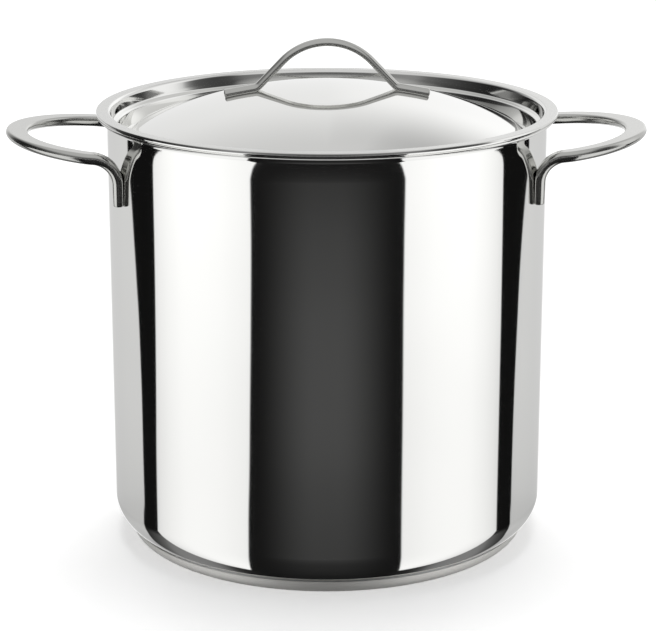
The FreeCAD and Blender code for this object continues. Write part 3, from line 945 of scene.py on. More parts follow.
@dataclass
class SideHandle:
    """A bent bar: a rising grip with a flat top, whose two legs turn down the wall."""

    finishes: Finishes
    pot_radius: float
    leg_spread: float = 62.4 * MM
    leg_length: float = 36.5 * MM
    leg_flat: float = 2.4 * MM
    leg_bend: float = 21.5 * MM
    bearing: float = math.radians(5)
    rise: float = math.radians(5.5)
    grip_reach: float = 61.5 * MM
    shoulder: float = 20 * MM
    seat_depth: float = 0.1 * MM
    end_round: float = 1.3 * MM
    step: float = math.radians(3)
    grip: BarSection = BarSection(15 * MM, 6.7 * MM, 2.9 * MM, 1.8 * MM, 2.8 * MM)
    arm: BarSection = BarSection(12.5 * MM, 8.0 * MM, 3.4 * MM, 2.4 * MM, 3.2 * MM)
    leg: BarSection = BarSection(7.0 * MM, 6.8 * MM, 2.8 * MM, 2.2 * MM, 2.8 * MM)

    def __post_init__(self) -> None:
        """Read the height of the legs' feet from the frame and place the leg."""
        self.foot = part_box("right_side_handle")[0].z
        across = math.sqrt(self.pot_radius**2 - self.leg_spread**2)
        self.leg_place = Vector((across, self.leg_spread, 0))
        self.lift = Matrix.Rotation(-self.rise, 3, "Y")
        level = Vector((math.cos(self.bearing), math.sin(self.bearing), 0))
        self.away = self.lift @ level
        self.level = Vector((self.away.x, self.away.y, 0)).normalized()

    def leg_path(self) -> list[tuple[Vector, Vector, Vector]]:
        """Go from a foot up the wall and over the bend.

        Returns:
            The point, the way ahead and the bow's side at each step.
        """
        up = Vector((0, 0, 1))
        slope = math.asin(self.away.z)
        knee = self.foot + self.leg_length - self.leg_bend * math.cos(slope)
        found = []
        for share in (0, 0.25, 0.5, 0.75):
            height = self.foot + (knee - self.foot) * share
            found.append((self.leg_place + up * height, up, self.level))
        hinge = self.leg_place + self.level * self.leg_bend + up * knee
        steps = math.ceil((math.pi / 2 - slope) / self.step)
        for number in range(steps + 1):
            turn = (math.pi / 2 - slope) * number / steps
            out = self.level * math.cos(turn) - up * math.sin(turn)
            ahead = self.level * math.sin(turn) + up * math.cos(turn)
            found.append((hinge - out * self.leg_bend, ahead, out))
        return found

    def grip_path(self, arm: Vector) -> list[tuple[Vector, Vector, Vector]]:
        """Go from the arm round to the grip's middle.

        Args:
            arm: The point where the leg's bend ends.

        Returns:
            The point, the way ahead and the bow's side at each step.
        """
        tip = self.pot_radius + self.grip_reach
        inward = Vector((math.sin(self.bearing), -math.cos(self.bearing), 0))
        centre = arm + inward * self.shoulder
        back = centre.x - tip
        grip = (self.shoulder**2 - back**2 - centre.y**2) / (2 * (back + self.shoulder))
        hub = Vector((tip - grip, 0, arm.z))
        meet = math.atan2(centre.y - hub.y, centre.x - hub.x)
        level = self.arc(centre, self.shoulder, self.bearing + math.pi / 2, meet)[1:]
        level += self.arc(hub, grip, meet, 0.0)[1:]
        down = self.lift @ Vector((0, 0, -1))
        return [(arm + self.lift @ (place - arm), self.lift @ way, down) for place, way in level]

    def arc(
        self, centre: Vector, radius: float, start: float, end: float
    ) -> list[tuple[Vector, Vector]]:
        """Follow a level arc that runs clockwise.

        Args:
            centre: Centre of the arc.
            radius: Its radius.
            start: Bearing of its first point.
            end: Bearing of its last point.

        Returns:
            The point and the way ahead at each step.
        """
        steps = math.ceil((start - end) / self.step)
        found = []
        for number in range(steps + 1):
            turn = start + (end - start) * number / steps
            reach = Vector((math.cos(turn), math.sin(turn), 0))
            found.append((centre + reach * radius, Vector((math.sin(turn), -math.cos(turn), 0))))
        return found

    def stations(self) -> tuple[Station, ...]:
        """Set out the whole bar, whose section changes from leg to arm to grip.

        Returns:
            Stations from one foot over the grip to the other foot.
        """
        lower = self.leg_path()
        upper = self.grip_path(lower[-1][0])
        path = lower + upper
        lengths = [0.0]
        for (before, _, _), (after, _, _) in zip(path, path[1:]):
            lengths.append(lengths[-1] + (after - before).length)
        arm = lengths[len(lower) - 1]
        slant = math.asin(self.leg_spread / self.pot_radius) - self.bearing
        seat = self.leg_flat / 2 * math.sin(slant) + self.seat_depth
        there = []
        for (place, ahead, out), length in zip(path, lengths):
            if length <= arm:
                section = self.leg.towards(self.arm, length / arm)
            else:
                section = self.arm.towards(self.grip, (length - arm) / (lengths[-1] - arm))
            there.append(Station(place - Vector((seat, 0, 0)), ahead, out, section))
        flip = Matrix.Diagonal((1, -1, 1))
        home = [
            Station(flip @ s.place, -(flip @ s.ahead), flip @ s.out, s.section)
            for s in reversed(there[:-1])
        ]
        return tuple(there + home)

    def build(self) -> None:
        """Make both handles and hand them to the pot's body."""
        for side, turn in (("right", 0.0), ("left", math.pi)):
            name = f"{side}_bar_handle"
            mesh = Bar(name, self.stations(), self.end_round).mesh(self.finishes.bar)
            mesh.transform(Matrix.Rotation(turn, 4, "Z"))
            hand_over(link_object(name, mesh), "pot", f"{side}_side_handle")


# ---------------------------------------------------------------- lid


@dataclass
class Lid:
    """The pressed lid and the bent bar loop that it is lifted by."""

    workshop: Workshop
    finishes: Finishes
    wall: float = 1.0 * MM
    hem_width: float = 6.0 * MM
    hem_height: float = 2.9 * MM
    flange: float = 9.6 * MM
    dome_height: float = 14.8 * MM
    dome_rise: float = 26.7 * MM
    dome_reach: float = 129 * MM
    dome_steps: int = 40
    groove_width: float = 1.2 * MM
    groove_reach: float = 6.7 * MM
    wall_reach: float = 4.9 * MM
    wall_height: float = 10.0 * MM
    ledge_width: float = 1.4 * MM
    ledge_height: float = 11.5 * MM
    flats: int = 320
    loop_trim: float = 2.4 * MM
    loop_end_round: float = 1.2 * MM
    loop_bend: float = 46.2 * MM
    loop_crown_round: float = 39.5 * MM
    loop_foot_round: float = 9 * MM
    loop_section: BarSection = BarSection(8.5 * MM, 5 * MM, 1.5 * MM, 0.7 * MM, 0.7 * MM)

    def __post_init__(self) -> None:
        """Read the lid's place from the frame."""
        low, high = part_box("lid_pan")
        self.edge = high.x
        self.crown = high.z
        self.top = high.z - self.dome_height
        self.bottom = low.z + self.wall
        self.ball = (self.dome_reach**2 + self.dome_rise**2) / (2 * self.dome_rise)

    def dome(self, reach: float) -> float:
        """Height of the dome at a distance from the axis."""
        return self.crown - self.ball + math.sqrt(self.ball**2 - reach**2)

    def face(self) -> list[Vector]:
        """Go over the lid's upper side.

        Returns:
            Points from the crown over the dome and the recess to the flat flange.
        """
        steps = self.dome_steps
        reaches = [self.dome_reach * (number / steps) for number in range(steps)]
        dome = [Vector((reach, 0, self.dome(reach))) for reach in reaches[:-1]]
        inner = self.edge - self.flange
        groove = inner - self.groove_reach
        pressed = Outline(
            (
                Corner(reaches[-1], self.dome(reaches[-1])),
                Corner(self.dome_reach, self.dome(self.dome_reach), 6 * MM),
                Corner(groove - self.groove_width, self.bottom, 1.2 * MM),
                Corner(groove, self.bottom, 0.9 * MM),
                Corner(inner - self.wall_reach, self.bottom + self.wall_height, 1.6 * MM),
                Corner(inner - self.ledge_width, self.bottom + self.ledge_height, 1.2 * MM),
                Corner(inner, self.top, 2.5 * MM),
                Corner(inner + 4 * MM, self.top),
            )
        )
        return dome + pressed.points()

    def pan(self) -> bpy.types.Object:
        """The lid's sheet: the pressed face, the hemmed edge and the underside.

        Returns:
            The lid, whose flat edge has a finish of its own.
        """
        face = self.face()
        under = offset_points(face, self.wall)
        under[0].x = 0.0
        back, low, lower = self.edge - self.hem_width, self.top - self.wall, self.top - self.hem_height
        hem = Outline(
            (
                Corner(face[-1].x, self.top),
                Corner(self.edge - 0.3 * MM, self.top, 0.6 * MM),
                Corner(self.edge, self.top - 1.7 * MM, 3 * MM),
                Corner(self.edge - 0.1 * MM, lower, 0.7 * MM),
                Corner(back, lower, 0.4 * MM),
                Corner(back, low, 0.1 * MM),
                Corner(under[-1].x, low),
            )
        )
        outline = list(reversed(face + hem.points()[1:-1] + list(reversed(under))))
        sheet = self.workshop.turn("lid_sheet", outline, self.finishes.mirror, self.flats)
        sheet.data.materials.append(self.finishes.turned)
        inner = self.edge - self.flange + 0.3 * MM
        for side in sheet.data.polygons:
            if side.center.z > self.top - 0.2 * MM and side.center.xy.length > inner:
                side.material_index = 1
        return sheet

    def foot_line(self, across: float) -> float:
        """Height of the loop's underside where it lies on the dome."""
        half = self.loop_section.width / 2
        return self.crown - self.ball + math.sqrt(self.ball**2 - across**2 - half**2) - 0.1 * MM

    def loop_apex(self, crown: float) -> float:
        """Find where the two lines tangent to the crown, one from each foot, would meet.

        Args:
            crown: Height of the crown's underside.

        Returns:
            Height of the meeting point.
        """
        middle = crown - self.loop_crown_round
        drop = self.foot_line(self.loop_bend) - middle
        slope = math.atan2(drop, self.loop_bend)
        slope += math.acos(self.loop_crown_round / math.hypot(self.loop_bend, drop))
        return middle + self.loop_crown_round / math.sin(slope)

    def loop(self) -> bpy.types.Object:
        """The handle: two short feet on the dome and a grip that arches between them.

        Returns:
            The bent bar.
        """
        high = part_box("lid_handle")[1]
        end = high.x - self.loop_trim
        apex = self.loop_apex(high.z - self.loop_section.thickness)
        feet = [
            Corner(end, self.foot_line(end)),
            Corner(self.loop_bend, self.foot_line(self.loop_bend), self.loop_foot_round),
        ]
        corners = [Corner(-foot.across, foot.up, foot.rounding) for foot in feet]
        corners += [Corner(0, apex, self.loop_crown_round), *reversed(feet)]
        points = Outline(tuple(corners), turn_step=math.radians(3), guard=0.5 * MM).points()
        section = self.loop_section.points()
        stations = []
        for number, place in enumerate(points):
            before = (place - points[max(number - 1, 0)]).normalized()
            after = (points[min(number + 1, len(points) - 1)] - place).normalized()
            ahead = (before + after).normalized()
            stations.append(Station(place, ahead, Vector((-ahead.z, 0, ahead.x)), section))
        bar = Bar("lid_loop", tuple(stations), self.loop_end_round)
        return link_object("lid_loop", bar.mesh(self.finishes.bar))

    def build(self) -> None:
        """Make the lid and its handle and hand them to the lid's body."""
        hand_over(self.pan(), "lid", "lid_pan")
        hand_over(self.loop(), "lid", "lid_handle")


# ---------------------------------------------------------------- jar rack


@dataclass
class Rack:
    """The wire rack that carries the jars: rings, spokes, feet, eyes and two lifting bails."""

    workshop: Workshop
    finishes: Finishes
    spokes: int = 8
    feet: int = 4
    foot_span: float = 22 * MM
    foot_round: float = 5 * MM
    bail_round: float = 22 * MM
    bail_foot_round: float = 5 * MM
    bail_knee: float = 59 * MM
    eye_wall: float = 1.8 * MM
    eye_length: float = 5 * MM
    weld_radius: float = 1.5 * MM
    ring_steps: int = 144

    def __post_init__(self) -> None:
        """Read the rack's heights and radii from the frame."""
        low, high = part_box("rack_spoke_1")
        self.wire = (high.z - low.z) / 2
        self.spoke_height = (high.z + low.z) / 2
        self.spoke_start = low.x
        self.spoke_end = high.x

    def ring(self, place: str) -> bpy.types.Object:
        """One closed ring of wire.

        Args:
            place: Which ring: outer, middle or inner.

        Returns:
            The ring.
        """
        low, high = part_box(f"rack_{place}_ring")
        wire, middle = (high.z - low.z) / 2, (high.z + low.z) / 2
        radius = self.ring_radius(place)
        path = [around(radius, turn, middle) for turn in even_turns(self.ring_steps)]
        name = f"rack_ring_{place}"
        return self.workshop.wire(name, path, wire, self.finishes.wire, closed=True)

    def ring_radius(self, place: str) -> float:
        """Radius of a ring's centre line."""
        low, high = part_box(f"rack_{place}_ring")
        return high.x - (high.z - low.z) / 2

    def all_spokes(self) -> bpy.types.Object:
        """The straight wires laid over the rings.

        Returns:
            All spokes in one piece.
        """
        path = [Vector((end, 0, self.spoke_height)) for end in (self.spoke_start, self.spoke_end)]
        one = self.workshop.wire("one_spoke", path, self.wire, self.finishes.wire)
        turns = [Vector((0, 0, turn)) for turn in even_turns(self.spokes)]
        places = [Vector()] * self.spokes
        return self.workshop.copies("rack_spokes", one, places, turns, self.finishes.wire)

    def foot_radius(self) -> float:
        """Distance of a foot's middle from the axis."""
        low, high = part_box("rack_foot_1")
        return ((low + high) / 2).xy.length

    def all_feet(self) -> bpy.types.Object:
        """The U-shaped wire feet under every second spoke.

        Returns:
            All feet in one piece.
        """
        low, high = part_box("rack_foot_1")
        bottom = low.z + self.wire
        half = self.foot_span / 2
        near, far = self.foot_radius() - half, self.foot_radius() + half
        corners = ((near, high.z), (near, bottom), (far, bottom), (far, high.z))
        path = [Vector((across, 0, up)) for across, up in corners]
        bends = [0.0, self.foot_round, self.foot_round, 0.0]
        one = self.workshop.wire("one_foot", path, self.wire, self.finishes.wire, bends)
        turns = [Vector((0, 0, turn)) for turn in even_turns(self.feet, 0.5)]
        places = [Vector()] * self.feet
        return self.workshop.copies("rack_feet", one, places, turns, self.finishes.wire)

    def eye(self, side: str, end: str) -> bpy.types.Object:
        """One eye of a bail: a turned bush on a short post.

        Args:
            side: Which bail, left or right.
            end: Which of its ends, front or back.

        Returns:
            The eye.
        """
        low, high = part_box(f"rack_eye_{side}_{end}")
        outer = (high.x - low.x) / 2
        bore = outer - self.eye_wall
        half = self.eye_length / 2
        pivot = (low + high) / 2
        pivot.z = high.z - outer
        outline = Outline(
            (
                Corner(bore, -half, 0),
                Corner(outer, -half, 0.5 * MM),
                Corner(outer, half, 0.5 * MM),
                Corner(bore, half, 0.3 * MM),
                Corner(bore, -half, 0),
            ),
            turn_step=math.radians(15),
        )
        bush = self.workshop.turn("bush", outline.points(), self.finishes.wire, 40)
        bush.data.transform(Matrix.Rotation(math.pi / 2, 4, "X"))
        post_path = [Vector((0, 0, low.z - pivot.z)), Vector((0, 0, -bore - 0.4 * MM))]
        post = self.workshop.wire("post", post_path, self.wire, self.finishes.wire)
        return self.join(f"rack_eye_{side}_{end}_bush", [bush, post], pivot)

    def join(
        self, name: str, pieces: Sequence[bpy.types.Object], place: Vector
    ) -> bpy.types.Object:
        """Make one mesh of several and put it in its place.

        Args:
            name: Name of the new piece.
            pieces: What is joined; they are removed afterwards.
            place: Where the pieces' origin goes.

        Returns:
            The new piece.
        """
        shape = bmesh.new()
        for piece in pieces:
            shape.from_mesh(piece.data)
        mesh = bpy.data.meshes.new(name)
        shape.to_mesh(mesh)
        shape.free()
        mesh.materials.append(pieces[0].data.materials[0])
        mesh.transform(Matrix.Translation(place))
        for piece in pieces:
            bpy.data.objects.remove(piece)
        return link_object(name, mesh)

    def bail(self, side: str) -> bpy.types.Object:
        """A tall lifting handle whose turned-out ends pivot in two eyes.

        Args:
            side: Which bail, left or right.

        Returns:
            The bail.
        """
        low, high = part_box(f"rack_bail_{side}")
        x = (low.x + high.x) / 2
        pivot, top = low.z + self.wire, high.z - self.wire
        leg = self.bail_knee - self.bail_foot_round
        half = [(high.y, pivot), (leg, pivot), (leg, top)]
        path = [Vector((x, -y, z)) for y, z in half] + [Vector((x, y, z)) for y, z in reversed(half)]
        rounds = [0.0, self.bail_foot_round, self.bail_round]
        bends = rounds + rounds[::-1]
        name = f"rack_{side}_bail_wire"
        return self.workshop.wire(name, path, self.wire, self.finishes.wire, bends)

    def welds(self) -> bpy.types.Object:
        """The spot welds where spokes cross the rings and where feet meet the spokes.

        Returns:
            All nuggets in one piece.
        """
        wide = self.weld_radius
        flat, edge = wide * 0.6, wide * 0.55
        lower = (Corner(0, -flat), Corner(wide, -flat, edge))
        upper = (Corner(wide, flat, edge), Corner(0, flat))
        bead = Outline(lower + upper, turn_step=math.radians(30))
        one = self.workshop.turn("one_weld", bead.points(), self.finishes.weld, 10)
        low = self.spoke_height - self.wire
        half = self.foot_span / 2
        rings = [self.ring_radius(place) for place in ("inner", "middle", "outer")]
        footed = rings + [self.foot_radius() - half, self.foot_radius() + half]
        places = []
        for number, turn in enumerate(even_turns(self.spokes)):
            places += [around(reach, turn, low) for reach in (footed if number % 2 else rings)]
        turns = [Vector()] * len(places)
        return self.workshop.copies("rack_welds", one, places, turns, self.finishes.weld)

    def build(self) -> None:
        """Make the rack's wires and hand them to the rack and its two bails."""
        for place in ("outer", "middle", "inner"):
            hand_over(self.ring(place), "rack", f"rack_{place}_ring")
        spokes = [f"rack_spoke_{number + 1}" for number in range(self.spokes)]
        hand_over(self.all_spokes(), "rack", *spokes)
        feet = [f"rack_foot_{number + 1}" for number in range(self.feet)]
        hand_over(self.all_feet(), "rack", *feet)
        hand_over(self.welds(), "rack")
        for side in ("left", "right"):
            for end in ("front", "back"):
                hand_over(self.eye(side, end), "rack", f"rack_eye_{side}_{end}")
            hand_over(self.bail(side), f"{side}_bail", f"rack_bail_{side}")


# ---------------------------------------------------------------- studio


Stops = tuple[tuple[float, float], ...]


@dataclass(frozen=True)
class Tone:
    """A number that a node tree works out, such as an angle in degrees or a brightness."""

    tree: bpy.types.NodeTree
    socket: bpy.types.NodeSocket

    def work(self, kind: str, *others: "Tone | float") -> "Tone":
        """Put this number through a Math node.

        Args:
            kind: What the node does.
            *others: The other numbers that it takes.

        Returns:
            The result.
        """
        values = enumerate((self, *others))
        inputs = {number: getattr(value, "socket", value) for number, value in values}
        node = add_node(self.tree, "ShaderNodeMath", inputs, operation=kind)
        return Tone(self.tree, node.outputs[0])

    def __add__(self, other: "Tone | float") -> "Tone":
        """This number and another one together."""
        return self.work("ADD", other)

    def __sub__(self, other: "Tone | float") -> "Tone":
        """This number less another one."""
        return self.work("SUBTRACT", other)

    def __rsub__(self, other: float) -> "Tone":
        """A plain number less this one."""
        return self * -1.0 + other

    def __mul__(self, other: "Tone | float") -> "Tone":
        """This number times another one."""
        return self.work("MULTIPLY", other)

    def angle(self, ahead: "Tone") -> "Tone":
        """The angle in degrees whose rise is this number and whose run is the other."""
        return self.work("ARCTAN2", ahead).work("DEGREES")

    def curve(self, stops: Stops) -> "Tone":
        """Read this number off a smooth curve.

        Args:
            stops: Angles, in rising order, and the curve's value at each.

        Returns:
            The curve's value.
        """
        first, last = stops[0][0], stops[-1][0]
        levels = [level for _, level in stops]
        least, most = min(levels), max(levels)
        share = add_node(
            self.tree, "ShaderNodeMapRange",
            {"Value": self.socket, "From Min": float(first), "From Max": float(last)},
        )
        node = add_node(self.tree, "ShaderNodeFloatCurve", {"Value": share})
        points = node.mapping.curves[0].points
        places = [
            ((angle - first) / (last - first), (level - least) / (most - least))
            for angle, level in stops
        ]
        points[0].location, points[1].location = places[0], places[-1]
        for place in places[1:-1]:
            points.new(*place)
        node.mapping.update()
        scaled = add_node(
            self.tree, "ShaderNodeMapRange",
            {"Value": node, "To Min": float(least), "To Max": float(most)}, clamp=False,
        )
        return Tone(self.tree, scaled.outputs[0])

    def step(self, edge: "Tone | float", width: float) -> "Tone":
        """Rise smoothly from 0 to 1 as this number crosses an edge.

        Args:
            edge: Where the middle of the rise is.
            width: How wide the rise is, in degrees.

        Returns:
            The factor.
        """
        rise = add_node(
            self.tree, "ShaderNodeMapRange",
            {
                "Value": (self - edge).socket, "From Min": -width / 2, "From Max": width / 2,
                "To Min": 0.0, "To Max": 1.0,
            },
            interpolation_type="SMOOTHSTEP",
        )
        return Tone(self.tree, rise.outputs[0])

    def blend(self, first: "Tone | float", second: "Tone | float") -> "Tone":
        """Go from one tone to another as this number goes from 0 to 1.

        Args:
            first: The tone at 0.
            second: The tone at 1.

        Returns:
            The blended tone.
        """
        inputs = {0: self.socket}
        inputs |= {2: getattr(first, "socket", first), 3: getattr(second, "socket", second)}
        mixed = add_node(self.tree, "ShaderNodeMix", inputs, data_type="FLOAT")
        return Tone(self.tree, mixed.outputs[0])


@dataclass(frozen=True)
class Look:
    """The direction that a reflection looks in, as angles in degrees.

    Azimuth is 0 to the front and 180 to the back on either side, bearing is the same with
    a sign, and right is 1 on the right. Facing and tilt are the turn and the slope of the
    steel that sends the camera's view there: they tell the rounded foot from the wall.
    """

    azimuth: Tone
    bearing: Tone
    elevation: Tone
    right: Tone
    facing: Tone
    tilt: Tone


@dataclass(frozen=True)
class Room:
    """The room that polished steel mirrors, told by direction alone.

    A black flag stands in front, with white walls on both sides, a thin black flag behind
    each of them, and a pale grey back wall. Above them the room's upper wall runs round
    and fades into the ceiling.
    """

    turn: float
    base_view: float = 21.7
    base_slope: float = -0.2
    edge_blur: float = 1.0
    front_left: Stops = (
        (-21.5, 42.1), (-20.8, 42.0), (-19.9, 41.4), (-17.9, 40.5), (-15.9, 39.7), (-14.0, 39.2),
        (-12.0, 39.3), (-10.4, 38.6), (-9.0, 37.6), (-8.0, 36.3), (-7.2, 35.0), (-6.6, 33.0),
    )
    front_right: Stops = (
        (-20.8, 39.8), (-17.9, 39.9), (-15.9, 39.8), (-14.0, 39.9), (-12.0, 40.2),
        (-10.4, 39.4), (-9.0, 38.4), (-8.0, 37.2), (-7.2, 35.9), (-6.6, 33.0),
    )
    front_spread: Stops = (
        (0, 0.0), (26, 0.85), (38, 2.2), (46, 4.4), (52, 8.0), (58, 12.5), (70, 20.0),
    )
    front_top: float = -5.6
    front_top_blur: float = 0.6
    front_rim: float = 22.0
    front_rim_width: float = 34.0
    front_rim_tone: float = 0.009
    front_tone: Stops = (
        (-85, 0.016), (-60, 0.022), (-40, 0.027), (-24, 0.043), (-20, 0.062), (-18, 0.074),
        (-15, 0.064), (-12, 0.036), (-10, 0.02), (-7, 0.01),
    )
    side_tone: Stops = (
        (40, 1.09), (50, 1.15), (60, 1.2), (78, 1.22), (86, 1.17), (95, 1.07), (103, 0.92),
    )
    side_fade: Stops = ((-20, 0.9), (-18, 0.915), (-16, 0.95), (-13, 1.0))
    left_flag_inner: Stops = (
        (-20, 103.1), (-19, 102.8), (-18, 102.2), (-16, 101.3), (-14, 100.9), (-12, 100.8),
        (-10.8, 100.0), (-9.6, 97.5), (-8.8, 93.0),
    )
    left_flag_outer: Stops = (
        (-20.5, 115.4), (-19, 115.8), (-18, 115.8), (-17, 116.2), (-16, 116.9), (-15, 118.5),
        (-14, 120.2), (-12.8, 122.5), (-12.2, 125.0),
    )
    right_flag_inner: Stops = (
        (-20, 103.3), (-12, 102.7), (-10.8, 102.0), (-9.6, 99.5), (-8.8, 95.0),
    )
    right_flag_outer: Stops = (
        (-20.5, 117.2), (-18, 117.8), (-16, 119.6), (-15, 120.6), (-14, 122.3), (-12.8, 125.6),
        (-12.2, 128.3),
    )
    side_flag_tone: float = 0.006
    side_flag_blur: float = 0.8
    low_flag_top: float = -20.5
    low_flag_blur: float = 0.2
    low_flag_outer: Stops = ((-46, 185.0), (-41, 150.0), (-35, 130.0), (-27, 120.5), (-20.5, 116.5))
    low_flag_tone: Stops = (
        (20, 0.012), (42, 0.014), (50, 0.03), (56, 0.07), (62, 0.15), (72, 0.21), (88, 0.22),
        (100, 0.12), (108, 0.06), (116, 0.02),
    )
    low_tone_top: float = -26.0
    low_tone_width: float = 8.0
    back_side: Stops = ((-40, 0.36), (-30, 0.56), (-21, 0.53), (-20, 0.6), (-18, 0.66), (-13, 0.7))
    back_fade: Stops = ((114, 1.06), (130, 1.03), (150, 0.98), (180, 0.96))
    back_edge: float = 164.0
    back_edge_width: float = 8.0
    back_middle: float = 1.02
    panel_top: float = -4.0
    panel_top_blur: float = 2.0
    horizon: Stops = (
        (-180, 0.92), (-157, 0.82), (-148, 0.56), (-135, 0.33), (-122, 0.06), (-105, 0.02),
        (-90, 0.03), (-75, 0.06), (-58, 0.14), (-45, 0.26), (-25, 0.14), (0, 0.08), (22, 0.16),
        (40, 0.2), (60, 0.06), (76, 0.09), (88, 0.75), (105, 1.0), (127, 0.8), (140, 0.78),
        (157, 1.12), (170, 1.05), (180, 0.92),
    )
    ceiling: Stops = (
        (-180, 0.68), (-150, 0.68), (-120, 0.58), (-90, 0.66), (0, 0.7), (60, 0.7), (82, 0.42),
        (100, 0.55), (130, 0.72), (157, 0.52), (172, 0.66), (180, 0.68),
    )
    dusk: Stops = (
        (-180, 40), (-140, 38), (-100, 38), (-60, 28), (0, 19), (50, 26), (80, 46), (110, 42),
        (157, 32), (180, 40),
    )
    dusk_width: float = 30.0
    zenith: float = 0.7
    zenith_edge: float = 62.0
    zenith_width: float = 36.0

    def look(self, tree: bpy.types.NodeTree) -> Look:
        """Work out the angles of the direction that the world is asked for.

        Args:
            tree: The world's tree.

        Returns:
            The angles, turned with the camera.
        """
        way = add_node(tree, "ShaderNodeTexCoord").outputs["Generated"]
        turned = add_node(
            tree, "ShaderNodeVectorRotate", {"Vector": way, "Angle": self.turn},
            rotation_type="Z_AXIS",
        )
        parts = add_node(tree, "ShaderNodeSeparateXYZ", {0: turned})
        rightward, backward, height = (Tone(tree, part) for part in parts.outputs)
        sideways = rightward.work("ABSOLUTE")
        forward = backward * -1.0
        level = (1.0 - height * height).work("SQRT")
        drop = math.radians(self.base_view)
        below = height.work("LESS_THAN", self.base_slope)
        reach = forward + level.work("MAXIMUM", below * math.cos(drop))
        across = (sideways * sideways + reach * reach).work("SQRT")
        return Look(
            azimuth=sideways.angle(forward),
            bearing=rightward.angle(forward),
            elevation=height.work("ARCSINE").work("DEGREES"),
            right=rightward.work("GREATER_THAN", 0.0),
            facing=sideways.angle(reach) * 2.0,
            tilt=(-math.sin(drop) - height).angle(across),
        )

    def front_and_sides(self, look: Look) -> Tone:
        """Set the black flag in front between the white walls.

        Args:
            look: Where the reflection looks.

        Returns:
            The tone of the front half of the room.
        """
        rim = look.facing.step(self.front_rim, self.front_rim_width)
        front = rim.blend(look.elevation.curve(self.front_tone), self.front_rim_tone)
        side = look.azimuth.curve(self.side_tone) * look.elevation.curve(self.side_fade)
        left, right = look.elevation.curve(self.front_left), look.elevation.curve(self.front_right)
        edge = look.right.blend(left, right) + look.tilt.curve(self.front_spread)
        over = look.elevation.step(self.front_top, self.front_top_blur)
        beside = look.facing.step(edge, self.edge_blur).work("MAXIMUM", over)
        return beside.blend(front, side)

    def behind(self, look: Look, front: Tone) -> Tone:
        """Hang the thin flags behind the white walls and close the room with its back wall.

        Args:
            look: Where the reflection looks.
            front: The tone of the front half of the room.

        Returns:
            The tone all round, below the upper wall.
        """
        inner, outer = (
            look.right.blend(look.elevation.curve(left), look.elevation.curve(right))
            for left, right in (
                (self.left_flag_inner, self.right_flag_inner),
                (self.left_flag_outer, self.right_flag_outer),
            )
        )
        low = look.elevation.step(self.low_flag_top, self.low_flag_blur)
        outer = low.blend(look.elevation.curve(self.low_flag_outer), outer)
        lit = look.elevation.step(self.low_tone_top, self.low_tone_width)
        flag = lit.blend(look.facing.curve(self.low_flag_tone), self.side_flag_tone)
        wall = look.azimuth.step(self.back_edge, self.back_edge_width).blend(
            look.elevation.curve(self.back_side) * look.azimuth.curve(self.back_fade),
            self.back_middle,
        )
        tone = look.azimuth.step(inner, self.side_flag_blur).blend(front, flag)
        return look.azimuth.step(outer, self.edge_blur).blend(tone, wall)

    def above(self, look: Look) -> Tone:
        """Fade the upper wall into the ceiling, and the ceiling into one tone overhead.

        Args:
            look: Where the reflection looks.

        Returns:
            The tone above the panels.
        """
        fade = look.elevation.step(look.bearing.curve(self.dusk), self.dusk_width)
        tone = fade.blend(look.bearing.curve(self.horizon), look.bearing.curve(self.ceiling))
        return look.elevation.step(self.zenith_edge, self.zenith_width).blend(tone, self.zenith)

    def tone(self, tree: bpy.types.NodeTree) -> bpy.types.NodeSocket:
        """Work out how bright the room is in each direction.

        Args:
            tree: The world's tree.

        Returns:
            The brightness as a socket.
        """
        look = self.look(tree)
        round_about = self.behind(look, self.front_and_sides(look))
        over = look.elevation.step(self.panel_top, self.panel_top_blur)
        return over.blend(round_about, self.above(look)).socket


